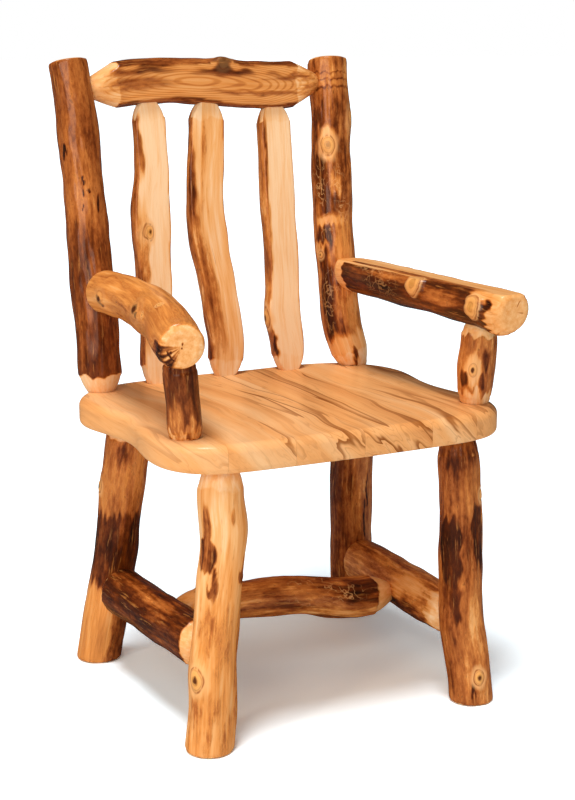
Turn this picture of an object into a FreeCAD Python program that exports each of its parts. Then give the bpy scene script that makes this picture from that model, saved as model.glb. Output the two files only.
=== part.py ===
import FreeCAD, Part
import os

os.makedirs("parts", exist_ok=True)

# A log armchair: peeled logs joined by round tenons, with a seat glued up from boards.
# Lengths are millimetres. The seat centre is above the drawing origin, the front is towards -Y,
# left and right are those of a viewer who faces the chair, and the floor is at height zero.

# Overall sizes
seat_height = 457.0
seat_width = 558.0
seat_depth = 474.0
seat_thickness = 42.0
seat_top_rounding = 13.0
seat_bottom_rounding = 9.0
back_rise = 510.0
arm_rise = 150.0

# Thickness of each kind of log
leg_girth = 68.0
post_girth = 65.0
rail_girth = 75.0
spindle_girth = 58.0
left_arm_girth = 67.0
right_arm_girth = 68.0
support_girth = 50.0
side_stretcher_girth = 70.0
centre_stretcher_girth = 60.0

# Round tenons: diameter, length, length of the shoulder, and how deep the shoulder is sunk
leg_tenon_diameter = 38.0
leg_tenon_length = 22.0
leg_shoulder_length = 30.0
leg_shoulder_sunk = 6.0
post_tenon_diameter = 36.0
post_tenon_length = 24.0
post_shoulder_length = 26.0
post_shoulder_sunk = 6.0
spindle_tenon_diameter = 28.0
spindle_tenon_length = 24.0
spindle_shoulder_length = 28.0
spindle_shoulder_sunk = 6.0
support_tenon_diameter = 28.0
support_tenon_length = 24.0
support_shoulder_length = 16.0
support_shoulder_sunk = 7.0
rail_tenon_diameter = 28.0
rail_tenon_length = 32.0
rail_shoulder_length = 44.0
rail_shoulder_sunk = 7.0
arm_tenon_diameter = 32.0
arm_tenon_length = 32.0
left_arm_shoulder_length = 18.0
right_arm_shoulder_length = 26.0
arm_shoulder_sunk = 8.0
stretcher_tenon_diameter = 32.0
stretcher_tenon_length = 34.0
stretcher_shoulder_length = 19.0
stretcher_shoulder_sunk = 8.0
centre_tenon_diameter = 26.0
centre_tenon_length = 34.0
centre_shoulder_length = 34.0
centre_shoulder_sunk = 6.0
tenon_chamfer = 2.0

# Fits: play round a tenon and its shoulder, and glue space past its end
fit_clearance = 0.15
glue_space = 1.0

# Rounded sawn ends
post_top_rounding = 6.0
arm_end_rounding = 11.0
foot_rounding = 5.0

# Rings that each log is lofted through
ring_count = 13

# Shares that all logs use
shoulder_base_share = 0.95
cone_bulge_share = 0.06
rail_bulge_share = 0.01
blunt_bulge_share = 0.18
heading_step_share = 0.03
saw_spare_share = 0.5
spindle_flat_share = 0.37
rail_flat_share = 0.62
arm_flat_share = 0.80

# Places on the seat as shares of its half width and half depth
front_left_leg_top_shares = (-0.705, -0.766)
front_right_leg_top_shares = (0.705, -0.761)
rear_left_leg_top_shares = (-0.717, 0.600)
rear_right_leg_top_shares = (0.717, 0.595)
front_left_foot_shares = (-0.807, -0.826)
front_right_foot_shares = (0.755, -0.909)
rear_left_foot_shares = (-0.841, 0.931)
rear_right_foot_shares = (0.893, 0.941)
left_post_base_shares = (-0.836, 0.795)
right_post_base_shares = (0.820, 0.805)
left_post_top_shares = (-0.838, 1.224)
right_post_top_shares = (0.838, 1.224)
left_support_base_shares = (-0.864, -0.660)
right_support_base_shares = (0.880, -0.652)
left_spindle_base_shares = (-0.470, 0.854)
centre_spindle_base_shares = (-0.005, 0.879)
right_spindle_base_shares = (0.401, 0.854)
left_arm_end_shares = (-0.946, -0.847)
right_arm_end_shares = (0.903, -1.024)

# Where logs meet, as shares of the length of the log that is bored
left_rail_joint_share = 0.916
right_rail_joint_share = 0.920
left_arm_joint_share = 0.296
right_arm_joint_share = 0.304
left_support_joint_share = 0.900
right_support_joint_share = 0.838
left_stretcher_rear_share = 0.313
left_stretcher_front_share = 0.350
right_stretcher_rear_share = 0.268
right_stretcher_front_share = 0.308
centre_left_joint_share = 0.480
centre_right_joint_share = 0.537
left_spindle_joint_share = 0.254
centre_spindle_joint_share = 0.499
right_spindle_joint_share = 0.759

# Rise of the free arm ends as shares of the rise of the arms
left_arm_end_rise_share = 0.920
right_arm_end_rise_share = 1.000

# The shape of each log. A row holds the share along it, its bow to the side and its bow upwards
# or rearwards as shares of the girth, and its own thickness as a share of the girth.
front_left_leg_shares = (
    (0.00, -0.03, 0.00, 1.03),
    (0.15, -0.02, 0.01, 1.02),
    (0.30, -0.02, 0.02, 1.02),
    (0.45, 0.01, 0.02, 0.99),
    (0.60, 0.05, 0.02, 0.96),
    (0.70, 0.09, 0.01, 0.97),
    (0.79, 0.09, 0.00, 1.02),
    (0.90, 0.00, 0.00, 0.98),
    (1.00, -0.02, 0.00, 0.94),
)
front_right_leg_shares = (
    (0.00, 0.01, 0.00, 1.00),
    (0.15, -0.03, 0.00, 1.00),
    (0.30, -0.12, 0.02, 0.97),
    (0.40, -0.10, 0.03, 0.95),
    (0.55, -0.05, 0.03, 0.95),
    (0.70, 0.00, 0.02, 0.93),
    (0.85, 0.01, 0.01, 0.93),
    (1.00, 0.04, 0.00, 0.89),
)
rear_left_leg_shares = (
    (0.00, -0.02, 0.00, 1.06),
    (0.15, 0.00, 0.01, 1.05),
    (0.30, 0.04, 0.02, 1.02),
    (0.45, 0.05, 0.02, 1.01),
    (0.60, 0.04, 0.02, 1.01),
    (0.75, -0.01, 0.01, 1.03),
    (0.88, -0.02, 0.00, 1.03),
    (1.00, 0.00, 0.00, 0.98),
)
rear_right_leg_shares = (
    (0.00, 0.00, 0.00, 1.07),
    (0.20, 0.01, 0.01, 1.07),
    (0.40, 0.00, 0.03, 1.06),
    (0.60, -0.01, 0.03, 1.05),
    (0.80, 0.00, 0.01, 1.05),
    (1.00, 0.00, 0.00, 1.00),
)
left_post_shares = (
    (0.00, 0.03, 0.00, 1.00),
    (0.08, 0.05, 0.00, 1.03),
    (0.20, 0.08, 0.01, 1.03),
    (0.40, 0.07, 0.02, 1.01),
    (0.60, 0.08, 0.02, 1.00),
    (0.80, 0.08, 0.01, 0.98),
    (0.92, 0.03, 0.00, 0.96),
    (1.00, -0.02, 0.00, 0.94),
)
right_post_shares = (
    (0.00, 0.06, 0.00, 0.95),
    (0.06, -0.09, 0.00, 0.98),
    (0.12, -0.22, 0.00, 1.00),
    (0.20, -0.26, 0.01, 1.00),
    (0.30, -0.25, 0.02, 0.98),
    (0.45, -0.24, 0.02, 1.01),
    (0.60, -0.18, 0.02, 1.02),
    (0.72, -0.12, 0.01, 0.98),
    (0.85, -0.07, 0.00, 0.99),
    (0.93, -0.05, 0.00, 1.01),
    (1.00, -0.03, 0.00, 1.00),
)
left_spindle_shares = (
    (0.00, 0.05, 0.00, 0.90),
    (0.10, 0.08, 0.00, 0.93),
    (0.25, 0.10, 0.00, 0.94),
    (0.40, 0.09, 0.00, 0.98),
    (0.50, 0.09, 0.00, 1.08),
    (0.58, 0.08, 0.00, 1.07),
    (0.70, 0.18, 0.00, 0.96),
    (0.82, 0.18, 0.00, 0.93),
    (0.91, 0.14, 0.00, 0.93),
    (1.00, 0.00, 0.00, 0.88),
)
centre_spindle_shares = (
    (0.00, -0.06, 0.00, 0.95),
    (0.11, 0.04, 0.00, 1.04),
    (0.20, -0.01, 0.00, 1.05),
    (0.32, -0.09, 0.00, 1.02),
    (0.43, -0.22, 0.00, 1.02),
    (0.53, -0.29, 0.00, 1.05),
    (0.65, -0.25, 0.00, 1.04),
    (0.80, -0.12, 0.00, 1.03),
    (0.92, -0.02, 0.00, 1.01),
    (1.00, 0.00, 0.00, 0.95),
)
right_spindle_shares = (
    (0.00, 0.00, 0.00, 0.93),
    (0.08, 0.00, 0.00, 0.98),
    (0.20, -0.09, 0.00, 1.06),
    (0.30, -0.03, 0.00, 0.97),
    (0.50, -0.01, 0.00, 0.98),
    (0.70, 0.00, 0.00, 0.98),
    (0.85, 0.02, 0.00, 1.00),
    (0.94, 0.00, 0.00, 1.00),
    (1.00, 0.00, 0.00, 0.95),
)
left_support_shares = (
    (0.00, 0.00, 0.00, 0.94),
    (0.20, 0.01, 0.00, 0.98),
    (0.45, 0.01, 0.00, 0.97),
    (0.70, 0.01, 0.00, 0.94),
    (1.00, 0.03, 0.00, 0.92),
)
right_support_shares = (
    (0.00, 0.00, 0.00, 0.94),
    (0.15, -0.02, 0.00, 1.03),
    (0.35, -0.06, 0.00, 1.11),
    (0.55, -0.04, 0.00, 1.06),
    (0.75, -0.02, 0.00, 1.02),
    (1.00, 0.00, 0.00, 0.98),
)
left_arm_shares = (
    (0.00, 0.06, 0.05, 1.00),
    (0.16, 0.13, 0.17, 1.00),
    (0.31, 0.24, 0.21, 0.98),
    (0.45, 0.28, 0.20, 1.01),
    (0.57, 0.31, 0.16, 1.06),
    (0.70, 0.25, 0.16, 1.03),
    (0.80, 0.17, 0.12, 1.01),
    (0.90, 0.09, 0.03, 1.03),
    (1.00, 0.00, 0.00, 1.00),
)
right_arm_shares = (
    (0.00, 0.00, 0.06, 0.97),
    (0.12, 0.00, 0.13, 1.00),
    (0.30, 0.00, 0.13, 1.02),
    (0.45, 0.00, 0.09, 1.01),
    (0.60, 0.01, 0.05, 0.98),
    (0.75, 0.00, 0.03, 0.96),
    (0.88, 0.00, 0.04, 0.97),
    (1.00, 0.00, 0.02, 0.95),
)
rail_shares = (
    (0.00, 0.00, -0.03, 0.94),
    (0.13, 0.00, 0.03, 0.97),
    (0.25, 0.00, 0.10, 0.95),
    (0.38, 0.00, 0.12, 0.93),
    (0.49, 0.00, 0.09, 0.98),
    (0.57, 0.00, 0.06, 1.03),
    (0.66, 0.00, 0.01, 1.01),
    (0.78, 0.00, -0.01, 1.02),
    (0.88, 0.00, 0.01, 1.00),
    (1.00, 0.00, 0.03, 0.95),
)
left_stretcher_shares = (
    (0.00, 0.00, 0.00, 1.00),
    (0.15, 0.02, 0.00, 1.02),
    (0.35, 0.02, -0.01, 1.02),
    (0.55, 0.00, -0.01, 1.00),
    (0.75, 0.00, 0.00, 0.98),
    (1.00, 0.00, 0.00, 0.96),
)
right_stretcher_shares = (
    (0.00, 0.00, 0.00, 1.06),
    (0.15, 0.00, 0.00, 1.07),
    (0.35, 0.00, 0.01, 1.07),
    (0.55, 0.00, 0.01, 1.04),
    (0.75, 0.02, 0.00, 1.00),
    (1.00, 0.03, 0.00, 0.97),
)
centre_stretcher_shares = (
    (0.00, 0.00, 0.06, 0.90),
    (0.18, 0.00, 0.13, 0.92),
    (0.33, 0.00, 0.16, 0.96),
    (0.44, 0.00, 0.16, 1.02),
    (0.55, 0.00, 0.11, 0.99),
    (0.62, 0.00, 0.03, 1.01),
    (0.70, 0.00, -0.09, 1.09),
    (0.77, 0.00, -0.14, 1.11),
    (0.84, 0.00, -0.12, 1.07),
    (1.00, 0.00, -0.02, 0.94),
)

# The seat outline on each side, from the middle of the rear edge to the middle of the front
# edge, as shares of the half width and the half depth. Both sides share their first and last row.
seat_right_outline_shares = (
    (0.00, 1.000),
    (0.36, 1.002),
    (0.58, 0.990),
    (0.74, 0.935),
    (0.87, 0.825),
    (0.965, 0.655),
    (1.00, 0.470),
    (0.985, 0.280),
    (0.955, 0.090),
    (0.945, -0.080),
    (0.958, -0.240),
    (0.982, -0.400),
    (1.00, -0.555),
    (0.985, -0.700),
    (0.930, -0.825),
    (0.835, -0.920),
    (0.700, -0.972),
    (0.500, -0.992),
    (0.260, -1.000),
    (0.00, -1.003),
)
seat_left_outline_shares = (
    (0.00, 1.000),
    (-0.38, 1.000),
    (-0.61, 0.985),
    (-0.78, 0.930),
    (-0.915, 0.825),
    (-1.000, 0.685),
    (-1.030, 0.520),
    (-1.010, 0.360),
    (-0.975, 0.180),
    (-0.958, 0.010),
    (-0.970, -0.170),
    (-0.998, -0.350),
    (-1.015, -0.530),
    (-1.000, -0.695),
    (-0.945, -0.825),
    (-0.850, -0.920),
    (-0.710, -0.972),
    (-0.500, -0.992),
    (-0.260, -1.000),
    (0.00, -1.003),
)

# Glue lines between the seat boards, and a place outside the seat, as shares of the half width
glue_line_shares = (-0.749, -0.384, 0.011, 0.423, 0.717)
outside_share = 2.0

half_width = seat_width / 2
half_depth = seat_depth / 2
seat_underside = seat_height - seat_thickness
full_turn = 360
across = FreeCAD.Vector(1, 0, 0)
rearward = FreeCAD.Vector(0, 1, 0)
upward = FreeCAD.Vector(0, 0, 1)


def place(shares, height):
    """A point above the seat plan, from its shares of the half width and half depth."""
    return FreeCAD.Vector(shares[0] * half_width, shares[1] * half_depth, height)


def turned(origin, direction, profile):
    """A solid of revolution about a line, from points (radius, distance) and one bulged edge.

    The second and third points are joined by an arc through the point between them, and the
    other neighbours are joined by straight lines.
    """
    points = [FreeCAD.Vector(radius, 0, distance) for radius, distance in profile]
    edges = [Part.makeLine(points[0], points[1])]
    edges.append(Part.Arc(points[1], points[2], points[3]).toShape())
    for first, second in zip(points[3:], points[4:] + points[:1]):
        edges.append(Part.makeLine(first, second))
    face = Part.Face(Part.Wire(edges))
    solid = face.revolve(FreeCAD.Vector(0, 0, 0), upward, full_turn)
    solid.Placement = FreeCAD.Placement(origin, FreeCAD.Rotation(upward, direction))
    return solid


def bulged(base_radius, tip_radius, length, bulge_share):
    """The point in the middle of a shoulder, pushed out square to the line between its ends."""
    slope = base_radius - tip_radius
    radius = (base_radius + tip_radius) / 2 + bulge_share * length
    return radius, length / 2 + bulge_share * slope


class Tenon:
    """A round tenon with a rounded shoulder, turned on the end of a log."""

    def __init__(self, diameter, length, shoulder, sunk, bulge_share):
        self.radius = diameter / 2
        self.length = length
        self.shoulder = shoulder
        self.sunk = sunk
        self.bulge_share = bulge_share
        self.origin = None
        self.direction = None
        self.base_radius = None

    def reach(self):
        """Distance from the bored surface out to the root of the shoulder."""
        return self.shoulder - self.sunk

    def set(self, origin, direction, base_radius):
        """Fix the place of the shoulder root, the way the tenon points, and its root radius."""
        self.origin = origin
        self.direction = direction
        self.base_radius = base_radius

    def solid(self):
        """The turned end."""
        end = self.shoulder + self.length
        profile = [
            (0, 0),
            (self.base_radius, 0),
            bulged(self.base_radius, self.radius, self.shoulder, self.bulge_share),
            (self.radius, self.shoulder),
            (self.radius, end - tenon_chamfer),
            (self.radius - tenon_chamfer, end),
            (0, end),
        ]
        return turned(self.origin, self.direction, profile)

    def bore(self):
        """The hollow that takes the turned end: the same shape with play all round."""
        base_radius = self.base_radius + fit_clearance
        tip_radius = self.radius + fit_clearance
        end = self.shoulder + self.length + glue_space
        profile = [
            (0, 0),
            (base_radius, 0),
            bulged(base_radius, tip_radius, self.shoulder, self.bulge_share),
            (tip_radius, self.shoulder),
            (tip_radius, end),
            (0, end),
        ]
        return turned(self.origin, self.direction, profile)


class Log:
    """A log whose centre line bows and whose thickness changes along it."""

    def __init__(self, start, finish, girth, hint, rows):
        self.start = start
        self.finish = finish
        self.girth = girth
        self.rows = rows
        self.length = (finish - start).Length
        self.direction = (finish - start).normalize()
        self.side = (hint - self.direction * hint.dot(self.direction)).normalize()
        self.rise = self.direction.cross(self.side)

    def row(self, along):
        """The table row at a share along the log, on a smooth curve through all the rows."""
        last = len(self.rows) - 1
        index = 0
        while index < last - 1 and self.rows[index + 1][0] < along:
            index = index + 1
        before = self.rows[index]
        after = self.rows[index + 1]
        earlier = self.rows[max(index - 1, 0)]
        later = self.rows[min(index + 2, last)]
        span = after[0] - before[0]
        share = (along - before[0]) / span
        values = [along]
        for column in (1, 2, 3):
            leaving = (after[column] - earlier[column]) / (after[0] - earlier[0]) * span
            arriving = (later[column] - before[column]) / (later[0] - before[0]) * span
            rise = after[column] - before[column]
            curve = 3 * rise - 2 * leaving - arriving
            twist = leaving + arriving - 2 * rise
            inside = before[column] + share * (leaving + share * (curve + share * twist))
            outside = before[column] if share < 0 else after[column]
            values.append(inside if 0 <= share <= 1 else outside)
        return values

    def centre(self, along):
        """The point of the centre line at a share along the log."""
        row = self.row(along)
        middle = self.start + self.direction * (along * self.length)
        return middle + (self.side * row[1] + self.rise * row[2]) * self.girth

    def radius(self, along):
        """Half the thickness at a share along the log."""
        return self.row(along)[3] * self.girth / 2

    def heading(self, along):
        """The way the centre line runs at a share along the log."""
        ahead = self.centre(along + heading_step_share)
        behind = self.centre(along - heading_step_share)
        return (ahead - behind).normalize()

    def body(self, first, last):
        """The log between two shares, lofted through evenly spaced rings."""
        steps = range(ring_count)
        shares = [first + (last - first) * step / (ring_count - 1) for step in steps]
        wires = []
        for along in shares:
            heading = self.heading(along)
            side = (self.side - heading * self.side.dot(heading)).normalize()
            rise = heading.cross(side)
            centre = self.centre(along)
            ring = Part.Wire(Part.makeCircle(self.radius(along)))
            ring.Placement = FreeCAD.Placement(FreeCAD.Matrix(
                side.x, rise.x, heading.x, centre.x,
                side.y, rise.y, heading.y, centre.y,
                side.z, rise.z, heading.z, centre.z,
                0, 0, 0, 1))
            wires.append(ring)
        return Part.makeLoft(wires, True, False)

    def set_start(self, tenon, bored_radius):
        """Put a tenon on the start; the start lies a bored radius inside the bored piece."""
        along = (bored_radius + tenon.reach()) / self.length
        tenon.set(self.centre(along), self.heading(along) * -1, self.radius(along) * shoulder_base_share)
        return along

    def set_finish(self, tenon, bored_radius):
        """Put a tenon on the finish; the finish lies a bored radius inside the bored piece."""
        along = 1 - (bored_radius + tenon.reach()) / self.length
        tenon.set(self.centre(along), self.heading(along), self.radius(along) * shoulder_base_share)
        return along

    def cap(self, along, rounding):
        """The sawn end with a rounded edge, from a share along the log onwards."""
        base_radius = self.radius(along) * shoulder_base_share
        tip_radius = base_radius - rounding
        profile = [
            (0, 0),
            (base_radius, 0),
            bulged(base_radius, tip_radius, rounding, blunt_bulge_share),
            (tip_radius, rounding),
            (0, rounding),
        ]
        return turned(self.centre(along), self.heading(along), profile)


def leg_tenon():
    """A new head of a leg, not yet placed."""
    return Tenon(leg_tenon_diameter, leg_tenon_length, leg_shoulder_length, leg_shoulder_sunk,
                 cone_bulge_share)


def post_tenon():
    """A new foot of a back post, not yet placed."""
    return Tenon(post_tenon_diameter, post_tenon_length, post_shoulder_length, post_shoulder_sunk,
                 cone_bulge_share)


def spindle_tenon():
    """A new end of a spindle, not yet placed."""
    return Tenon(spindle_tenon_diameter, spindle_tenon_length, spindle_shoulder_length,
                 spindle_shoulder_sunk, cone_bulge_share)


def support_tenon():
    """A new end of an arm support, not yet placed."""
    return Tenon(support_tenon_diameter, support_tenon_length, support_shoulder_length,
                 support_shoulder_sunk, blunt_bulge_share)


def rail_tenon():
    """A new end of the crest rail, not yet placed."""
    return Tenon(rail_tenon_diameter, rail_tenon_length, rail_shoulder_length, rail_shoulder_sunk,
                 rail_bulge_share)


def arm_tenon(shoulder):
    """A new rear end of an arm with this length of shoulder, not yet placed."""
    return Tenon(arm_tenon_diameter, arm_tenon_length, shoulder, arm_shoulder_sunk, blunt_bulge_share)


def stretcher_tenon():
    """A new end of a side stretcher, not yet placed."""
    return Tenon(stretcher_tenon_diameter, stretcher_tenon_length, stretcher_shoulder_length,
                 stretcher_shoulder_sunk, blunt_bulge_share)


def centre_tenon():
    """A new end of the centre stretcher, not yet placed."""
    return Tenon(centre_tenon_diameter, centre_tenon_length, centre_shoulder_length,
                 centre_shoulder_sunk, cone_bulge_share)


def slab_beyond(log, way, distance):
    """A block that starts a distance from a log's straight line and lies on one side of it."""
    block = Part.makeBox(log.length * 2, log.length, log.length)
    block.translate(FreeCAD.Vector(-log.length / 2, -log.length / 2, distance))
    third = way.cross(log.direction)
    block.Placement = FreeCAD.Placement(FreeCAD.Matrix(
        log.direction.x, third.x, way.x, log.start.x,
        log.direction.y, third.y, way.y, log.start.y,
        log.direction.z, third.z, way.z, log.start.z,
        0, 0, 0, 1)).multiply(block.Placement)
    return block


def make_leg(log, tenon):
    """A leg: sawn level at the floor with an eased edge, tenoned at its head."""
    spare = saw_spare_share * log.girth / log.length
    last = log.set_finish(tenon, 0)
    body = log.body(-spare, last)
    below = Part.makeBox(seat_width * 2, seat_depth * 2, seat_height)
    below.translate(FreeCAD.Vector(-seat_width, -seat_depth, -seat_height))
    body = body.cut(below)
    rim = [edge for edge in body.Edges if edge.BoundBox.ZMax < foot_rounding / 2]
    body = body.makeFillet(foot_rounding, rim)
    return body.fuse(tenon.solid())


def make_post(log, tenon):
    """A back post: tenoned into the seat, sawn square and eased at its top."""
    first = log.set_start(tenon, 0)
    last = 1 - post_top_rounding / log.length
    return log.body(first, last).multiFuse([tenon.solid(), log.cap(last, post_top_rounding)])


def make_tenoned(log, start_tenon, start_radius, finish_tenon, finish_radius):
    """A log with a tenon on both ends."""
    first = log.set_start(start_tenon, start_radius)
    last = log.set_finish(finish_tenon, finish_radius)
    return log.body(first, last).multiFuse([start_tenon.solid(), finish_tenon.solid()])


def make_arm(log, tenon, bored_radius):
    """An arm: tenoned into its post, sawn and rounded at its free end."""
    first = log.set_start(tenon, bored_radius)
    last = 1 - arm_end_rounding / log.length
    return log.body(first, last).multiFuse([tenon.solid(), log.cap(last, arm_end_rounding)])


def make_seat():
    """The whole seat blank with its edges rounded over."""
    right_side = [place(shares, seat_underside) for shares in seat_right_outline_shares]
    left_side = [place(shares, seat_underside) for shares in reversed(seat_left_outline_shares[1:-1])]
    outline = Part.BSplineCurve()
    outline.interpolate(right_side + left_side, PeriodicFlag=True)
    face = Part.Face(Part.Wire(outline.toShape()))
    seat = face.extrude(FreeCAD.Vector(0, 0, seat_thickness))
    middle = seat_underside + seat_thickness / 2
    top_rim = [edge for edge in seat.Edges if edge.BoundBox.ZMin > middle]
    seat = seat.makeFillet(seat_top_rounding, top_rim)
    bottom_rim = [edge for edge in seat.Edges if edge.BoundBox.ZMax < middle]
    return seat.makeFillet(seat_bottom_rounding, bottom_rim)


def make_boards(seat):
    """The seat cut along its glue lines."""
    lines = [-outside_share] + list(glue_line_shares) + [outside_share]
    boards = []
    for left, right in zip(lines, lines[1:]):
        block = Part.makeBox((right - left) * half_width, seat_depth * 2, seat_thickness * 2)
        block.translate(FreeCAD.Vector(left * half_width, -seat_depth, seat_underside - seat_thickness / 2))
        boards.append(seat.common(block))
    return boards


# Legs
front_left_leg = Log(place(front_left_foot_shares, 0), place(front_left_leg_top_shares, seat_underside),
                     leg_girth, across, front_left_leg_shares)
front_right_leg = Log(place(front_right_foot_shares, 0), place(front_right_leg_top_shares, seat_underside),
                      leg_girth, across, front_right_leg_shares)
rear_left_leg = Log(place(rear_left_foot_shares, 0), place(rear_left_leg_top_shares, seat_underside),
                    leg_girth, across, rear_left_leg_shares)
rear_right_leg = Log(place(rear_right_foot_shares, 0), place(rear_right_leg_top_shares, seat_underside),
                     leg_girth, across, rear_right_leg_shares)
leg_tenons = [leg_tenon() for corner in range(4)]
legs = [front_left_leg, front_right_leg, rear_left_leg, rear_right_leg]
leg_solids = [make_leg(log, tenon) for log, tenon in zip(legs, leg_tenons)]

# Back posts
back_top = seat_height + back_rise
left_post = Log(place(left_post_base_shares, seat_height), place(left_post_top_shares, back_top),
                post_girth, across, left_post_shares)
right_post = Log(place(right_post_base_shares, seat_height), place(right_post_top_shares, back_top),
                 post_girth, across, right_post_shares)
left_post_tenon = post_tenon()
right_post_tenon = post_tenon()
left_post_solid = make_post(left_post, left_post_tenon)
right_post_solid = make_post(right_post, right_post_tenon)

# Crest rail between the posts
rail = Log(left_post.centre(left_rail_joint_share), right_post.centre(right_rail_joint_share),
           rail_girth, rearward, rail_shares)
rail_left_tenon = rail_tenon()
rail_right_tenon = rail_tenon()
rail_solid = make_tenoned(rail, rail_left_tenon, left_post.radius(left_rail_joint_share),
                          rail_right_tenon, right_post.radius(right_rail_joint_share))
rail_front = rail.side * -1
rail_solid = rail_solid.cut(slab_beyond(rail, rail_front, rail_flat_share * rail_girth / 2))

# Spindles between the seat and the crest rail
spindle_bases = (left_spindle_base_shares, centre_spindle_base_shares, right_spindle_base_shares)
spindle_joints = (left_spindle_joint_share, centre_spindle_joint_share, right_spindle_joint_share)
spindle_rows = (left_spindle_shares, centre_spindle_shares, right_spindle_shares)
spindle_flat = spindle_flat_share * spindle_girth / 2
spindle_solids = []
spindle_foot_bores = []
spindle_head_bores = []
for base, joint, rows in zip(spindle_bases, spindle_joints, spindle_rows):
    spindle = Log(place(base, seat_height), rail.centre(joint), spindle_girth, across, rows)
    foot = spindle_tenon()
    head = spindle_tenon()
    solid = make_tenoned(spindle, foot, 0, head, rail.radius(joint))
    spindle_front = spindle.rise * -1
    spindle_solids.append(solid.cut(slab_beyond(spindle, spindle_front, spindle_flat)))
    bore_flat = slab_beyond(spindle, spindle_front, spindle_flat + fit_clearance)
    spindle_foot_bores.append(foot.bore().cut(bore_flat))
    spindle_head_bores.append(head.bore().cut(bore_flat))

# Arms, tenoned into the fronts of the posts
left_arm = Log(left_post.centre(left_arm_joint_share),
               place(left_arm_end_shares, seat_height + arm_rise * left_arm_end_rise_share),
               left_arm_girth, across, left_arm_shares)
right_arm = Log(right_post.centre(right_arm_joint_share),
                place(right_arm_end_shares, seat_height + arm_rise * right_arm_end_rise_share),
                right_arm_girth, across, right_arm_shares)
left_arm_tenon = arm_tenon(left_arm_shoulder_length)
right_arm_tenon = arm_tenon(right_arm_shoulder_length)
left_arm_solid = make_arm(left_arm, left_arm_tenon, left_post.radius(left_arm_joint_share))
right_arm_solid = make_arm(right_arm, right_arm_tenon, right_post.radius(right_arm_joint_share))
right_arm_flat = arm_flat_share * right_arm_girth / 2
right_arm_solid = right_arm_solid.cut(slab_beyond(right_arm, right_arm.rise, right_arm_flat))
right_arm_bore_flat = slab_beyond(right_arm, right_arm.rise, right_arm_flat + fit_clearance)
right_arm_bore = right_arm_tenon.bore().cut(right_arm_bore_flat)

# Arm supports between the seat and the arms
left_support = Log(place(left_support_base_shares, seat_height), left_arm.centre(left_support_joint_share),
                   support_girth, across, left_support_shares)
right_support = Log(place(right_support_base_shares, seat_height),
                    right_arm.centre(right_support_joint_share),
                    support_girth, across, right_support_shares)
left_support_foot = support_tenon()
left_support_head = support_tenon()
right_support_foot = support_tenon()
right_support_head = support_tenon()
left_support_solid = make_tenoned(left_support, left_support_foot, 0, left_support_head,
                                  left_arm.radius(left_support_joint_share))
right_support_solid = make_tenoned(right_support, right_support_foot, 0, right_support_head,
                                   right_arm.radius(right_support_joint_share))

# Stretchers: one on each side between the legs, one across between those two
left_stretcher = Log(rear_left_leg.centre(left_stretcher_rear_share),
                     front_left_leg.centre(left_stretcher_front_share),
                     side_stretcher_girth, across, left_stretcher_shares)
right_stretcher = Log(rear_right_leg.centre(right_stretcher_rear_share),
                      front_right_leg.centre(right_stretcher_front_share),
                      side_stretcher_girth, across, right_stretcher_shares)
left_stretcher_rear = stretcher_tenon()
left_stretcher_front = stretcher_tenon()
right_stretcher_rear = stretcher_tenon()
right_stretcher_front = stretcher_tenon()
left_stretcher_solid = make_tenoned(left_stretcher, left_stretcher_rear,
                                    rear_left_leg.radius(left_stretcher_rear_share), left_stretcher_front,
                                    front_left_leg.radius(left_stretcher_front_share))
right_stretcher_solid = make_tenoned(right_stretcher, right_stretcher_rear,
                                     rear_right_leg.radius(right_stretcher_rear_share), right_stretcher_front,
                                     front_right_leg.radius(right_stretcher_front_share))
centre_stretcher = Log(left_stretcher.centre(centre_left_joint_share),
                       right_stretcher.centre(centre_right_joint_share),
                       centre_stretcher_girth, rearward, centre_stretcher_shares)
centre_left_tenon = centre_tenon()
centre_right_tenon = centre_tenon()
centre_stretcher_solid = make_tenoned(centre_stretcher, centre_left_tenon,
                                      left_stretcher.radius(centre_left_joint_share), centre_right_tenon,
                                      right_stretcher.radius(centre_right_joint_share))

# Bores that take the tenons
seat_tenons = leg_tenons + [left_post_tenon, right_post_tenon, left_support_foot, right_support_foot]
seat_solid = make_seat().cut([tenon.bore() for tenon in seat_tenons] + spindle_foot_bores)
left_post_solid = left_post_solid.cut([rail_left_tenon.bore(), left_arm_tenon.bore()])
right_post_solid = right_post_solid.cut([rail_right_tenon.bore(), right_arm_bore])
rail_solid = rail_solid.cut(spindle_head_bores)
left_arm_solid = left_arm_solid.cut(left_support_head.bore())
right_arm_solid = right_arm_solid.cut(right_support_head.bore())
leg_bores = (left_stretcher_front, right_stretcher_front, left_stretcher_rear, right_stretcher_rear)
leg_solids = [solid.cut(tenon.bore()) for solid, tenon in zip(leg_solids, leg_bores)]
left_stretcher_solid = left_stretcher_solid.cut(centre_left_tenon.bore())
right_stretcher_solid = right_stretcher_solid.cut(centre_right_tenon.bore())

# Every piece under its node name
pieces = {
    "front_left_leg": leg_solids[0],
    "front_right_leg": leg_solids[1],
    "rear_left_leg": leg_solids[2],
    "rear_right_leg": leg_solids[3],
    "left_side_stretcher": left_stretcher_solid,
    "right_side_stretcher": right_stretcher_solid,
    "centre_stretcher": centre_stretcher_solid,
    "left_back_post": left_post_solid,
    "right_back_post": right_post_solid,
    "crest_rail": rail_solid,
    "left_spindle": spindle_solids[0],
    "centre_spindle": spindle_solids[1],
    "right_spindle": spindle_solids[2],
    "left_arm": left_arm_solid,
    "right_arm": right_arm_solid,
    "left_arm_support": left_support_solid,
    "right_arm_support": right_support_solid,
}
for number, board in enumerate(make_boards(seat_solid), start=1):
    pieces["seat_board_" + str(number)] = board

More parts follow.
